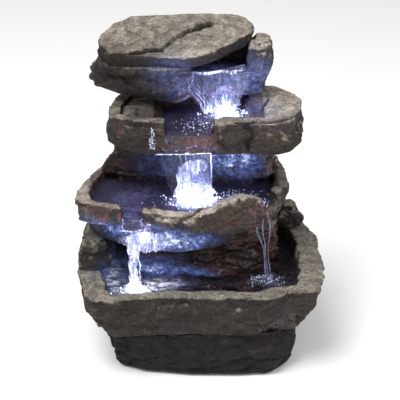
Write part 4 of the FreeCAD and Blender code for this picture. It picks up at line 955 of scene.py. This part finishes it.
def foam_paint(name):
    """Open-cell filter foam: pale cell walls, and dark pores painted as the shade in the holes."""
    m = Paint(name)
    cells = m.spots(0.0011)
    return m.finish(cells.between(0.15, 0.6).mix((0.008, 0.009, 0.010), (0.07, 0.078, 0.085)), 0.95, cells,
                    0.0006, 1.0)


FITTINGS = {
    "black_plastic": plastic_paint("black_plastic", (0.014, 0.014, 0.016), 0.42),
    "door_plastic": plastic_paint("door_plastic", (0.06, 0.052, 0.043), 0.66, 0.0011, 0.0002),
    "rubber": rubber_paint("rubber", (0.018, 0.018, 0.018)),
    "lead_sheath": plastic_paint("lead_sheath", (0.022, 0.022, 0.025), 0.38, 0.0008, 0.00003),
    "clear_lens": lens_paint("clear_lens"),
    "clear_hose": plastic_paint("clear_hose", (0.62, 0.66, 0.64), 0.2, 0.003, 0.00003, Alpha=0.55, IOR=1.5),
    "screw_steel": steel_paint("screw_steel"),
    "shaft_ceramic": plastic_paint("shaft_ceramic", (0.75, 0.74, 0.70), 0.25, 0.0005, 0.00001),
    "foam": foam_paint("foam"),
}
for part in frame["record"]["subparts"]:
    if part["material_slot"] in FITTINGS:
        mesh = frame["nodes"][part["node"]].data
        mesh.materials.clear()
        mesh.materials.append(FITTINGS[part["material_slot"]])


# ---------------- studio
def lamp(name, kind, place, power, colour, size=0.004, target=None):
    """A light at a place; an area light looks at its target."""
    data = bpy.data.lights.new(name, kind)
    data.energy = power
    data.color = colour
    if kind == "AREA":
        data.size = size
    else:
        data.shadow_soft_size = size
    obj = bpy.data.objects.new(name, data)
    obj.location = place
    if target is not None:
        obj.rotation_euler = (Vector(target) - Vector(place)).to_track_quat("-Z", "Y").to_euler()
    bpy.context.scene.collection.objects.link(obj)


def make_floor():
    """A wide pale floor under the feet."""
    half = 3.0
    corners = [(-half, -half, 0), (half, -half, 0), (half, half, 0), (-half, half, 0)]
    obj = new_mesh("floor", corners, [[0, 1, 2, 3]], smooth=False)
    m = Paint("floor")
    tone = m.noise(0.4, 2.0).mix((0.92, 0.92, 0.92), (0.94, 0.94, 0.94))
    obj.data.materials.append(m.finish(tone, 0.9))


def make_studio():
    """A white surround, a key and a fill light, the three lamps' own light, and the camera in front."""
    scene = bpy.context.scene
    world = bpy.data.worlds.new("studio")
    scene.world = world
    world.use_nodes = True
    backdrop = world.node_tree.nodes["Background"]
    backdrop.inputs["Color"].default_value = (1.0, 1.0, 1.0, 1.0)
    backdrop.inputs["Strength"].default_value = 0.60
    centre = (0, 0, 0.13)
    lamp("key", "AREA", (-0.45, -0.45, 1.30), 19.0, (1.0, 0.985, 0.965), 0.8, centre)
    lamp("fill", "AREA", (0.9, -0.5, 0.9), 5.0, (0.97, 0.98, 1.0), 0.9, centre)
    blue = (0.42, 0.50, 1.0)
    lamp("upper_glow", "POINT", upper_lamp + np.array([0.002, -0.006, 0.007]), 0.05, blue)
    lamp("middle_glow", "POINT", middle_lamp + np.array([0.000, -0.008, 0.012]), 0.06, blue)
    lamp("lower_glow", "POINT", lower_lamp + np.array([0.000, -0.010, 0.006]), 0.035, blue)
    scene.view_settings.view_transform = "Standard"
    scene.view_settings.look = "None"
    eye = bpy.data.cameras.new("eye")
    eye.lens, eye.sensor_width = 100.0, 36.0
    camera = bpy.data.objects.new("eye", eye)
    target, distance, height = Vector((0, -0.004, 0.1276)), 0.902, math.radians(27.0)
    camera.location = target + distance * Vector((0, -math.cos(height), math.sin(height)))
    camera.rotation_euler = (target - camera.location).to_track_quat("-Z", "Y").to_euler()
    scene.collection.objects.link(camera)
    scene.camera = camera


make_floor()
make_studio()
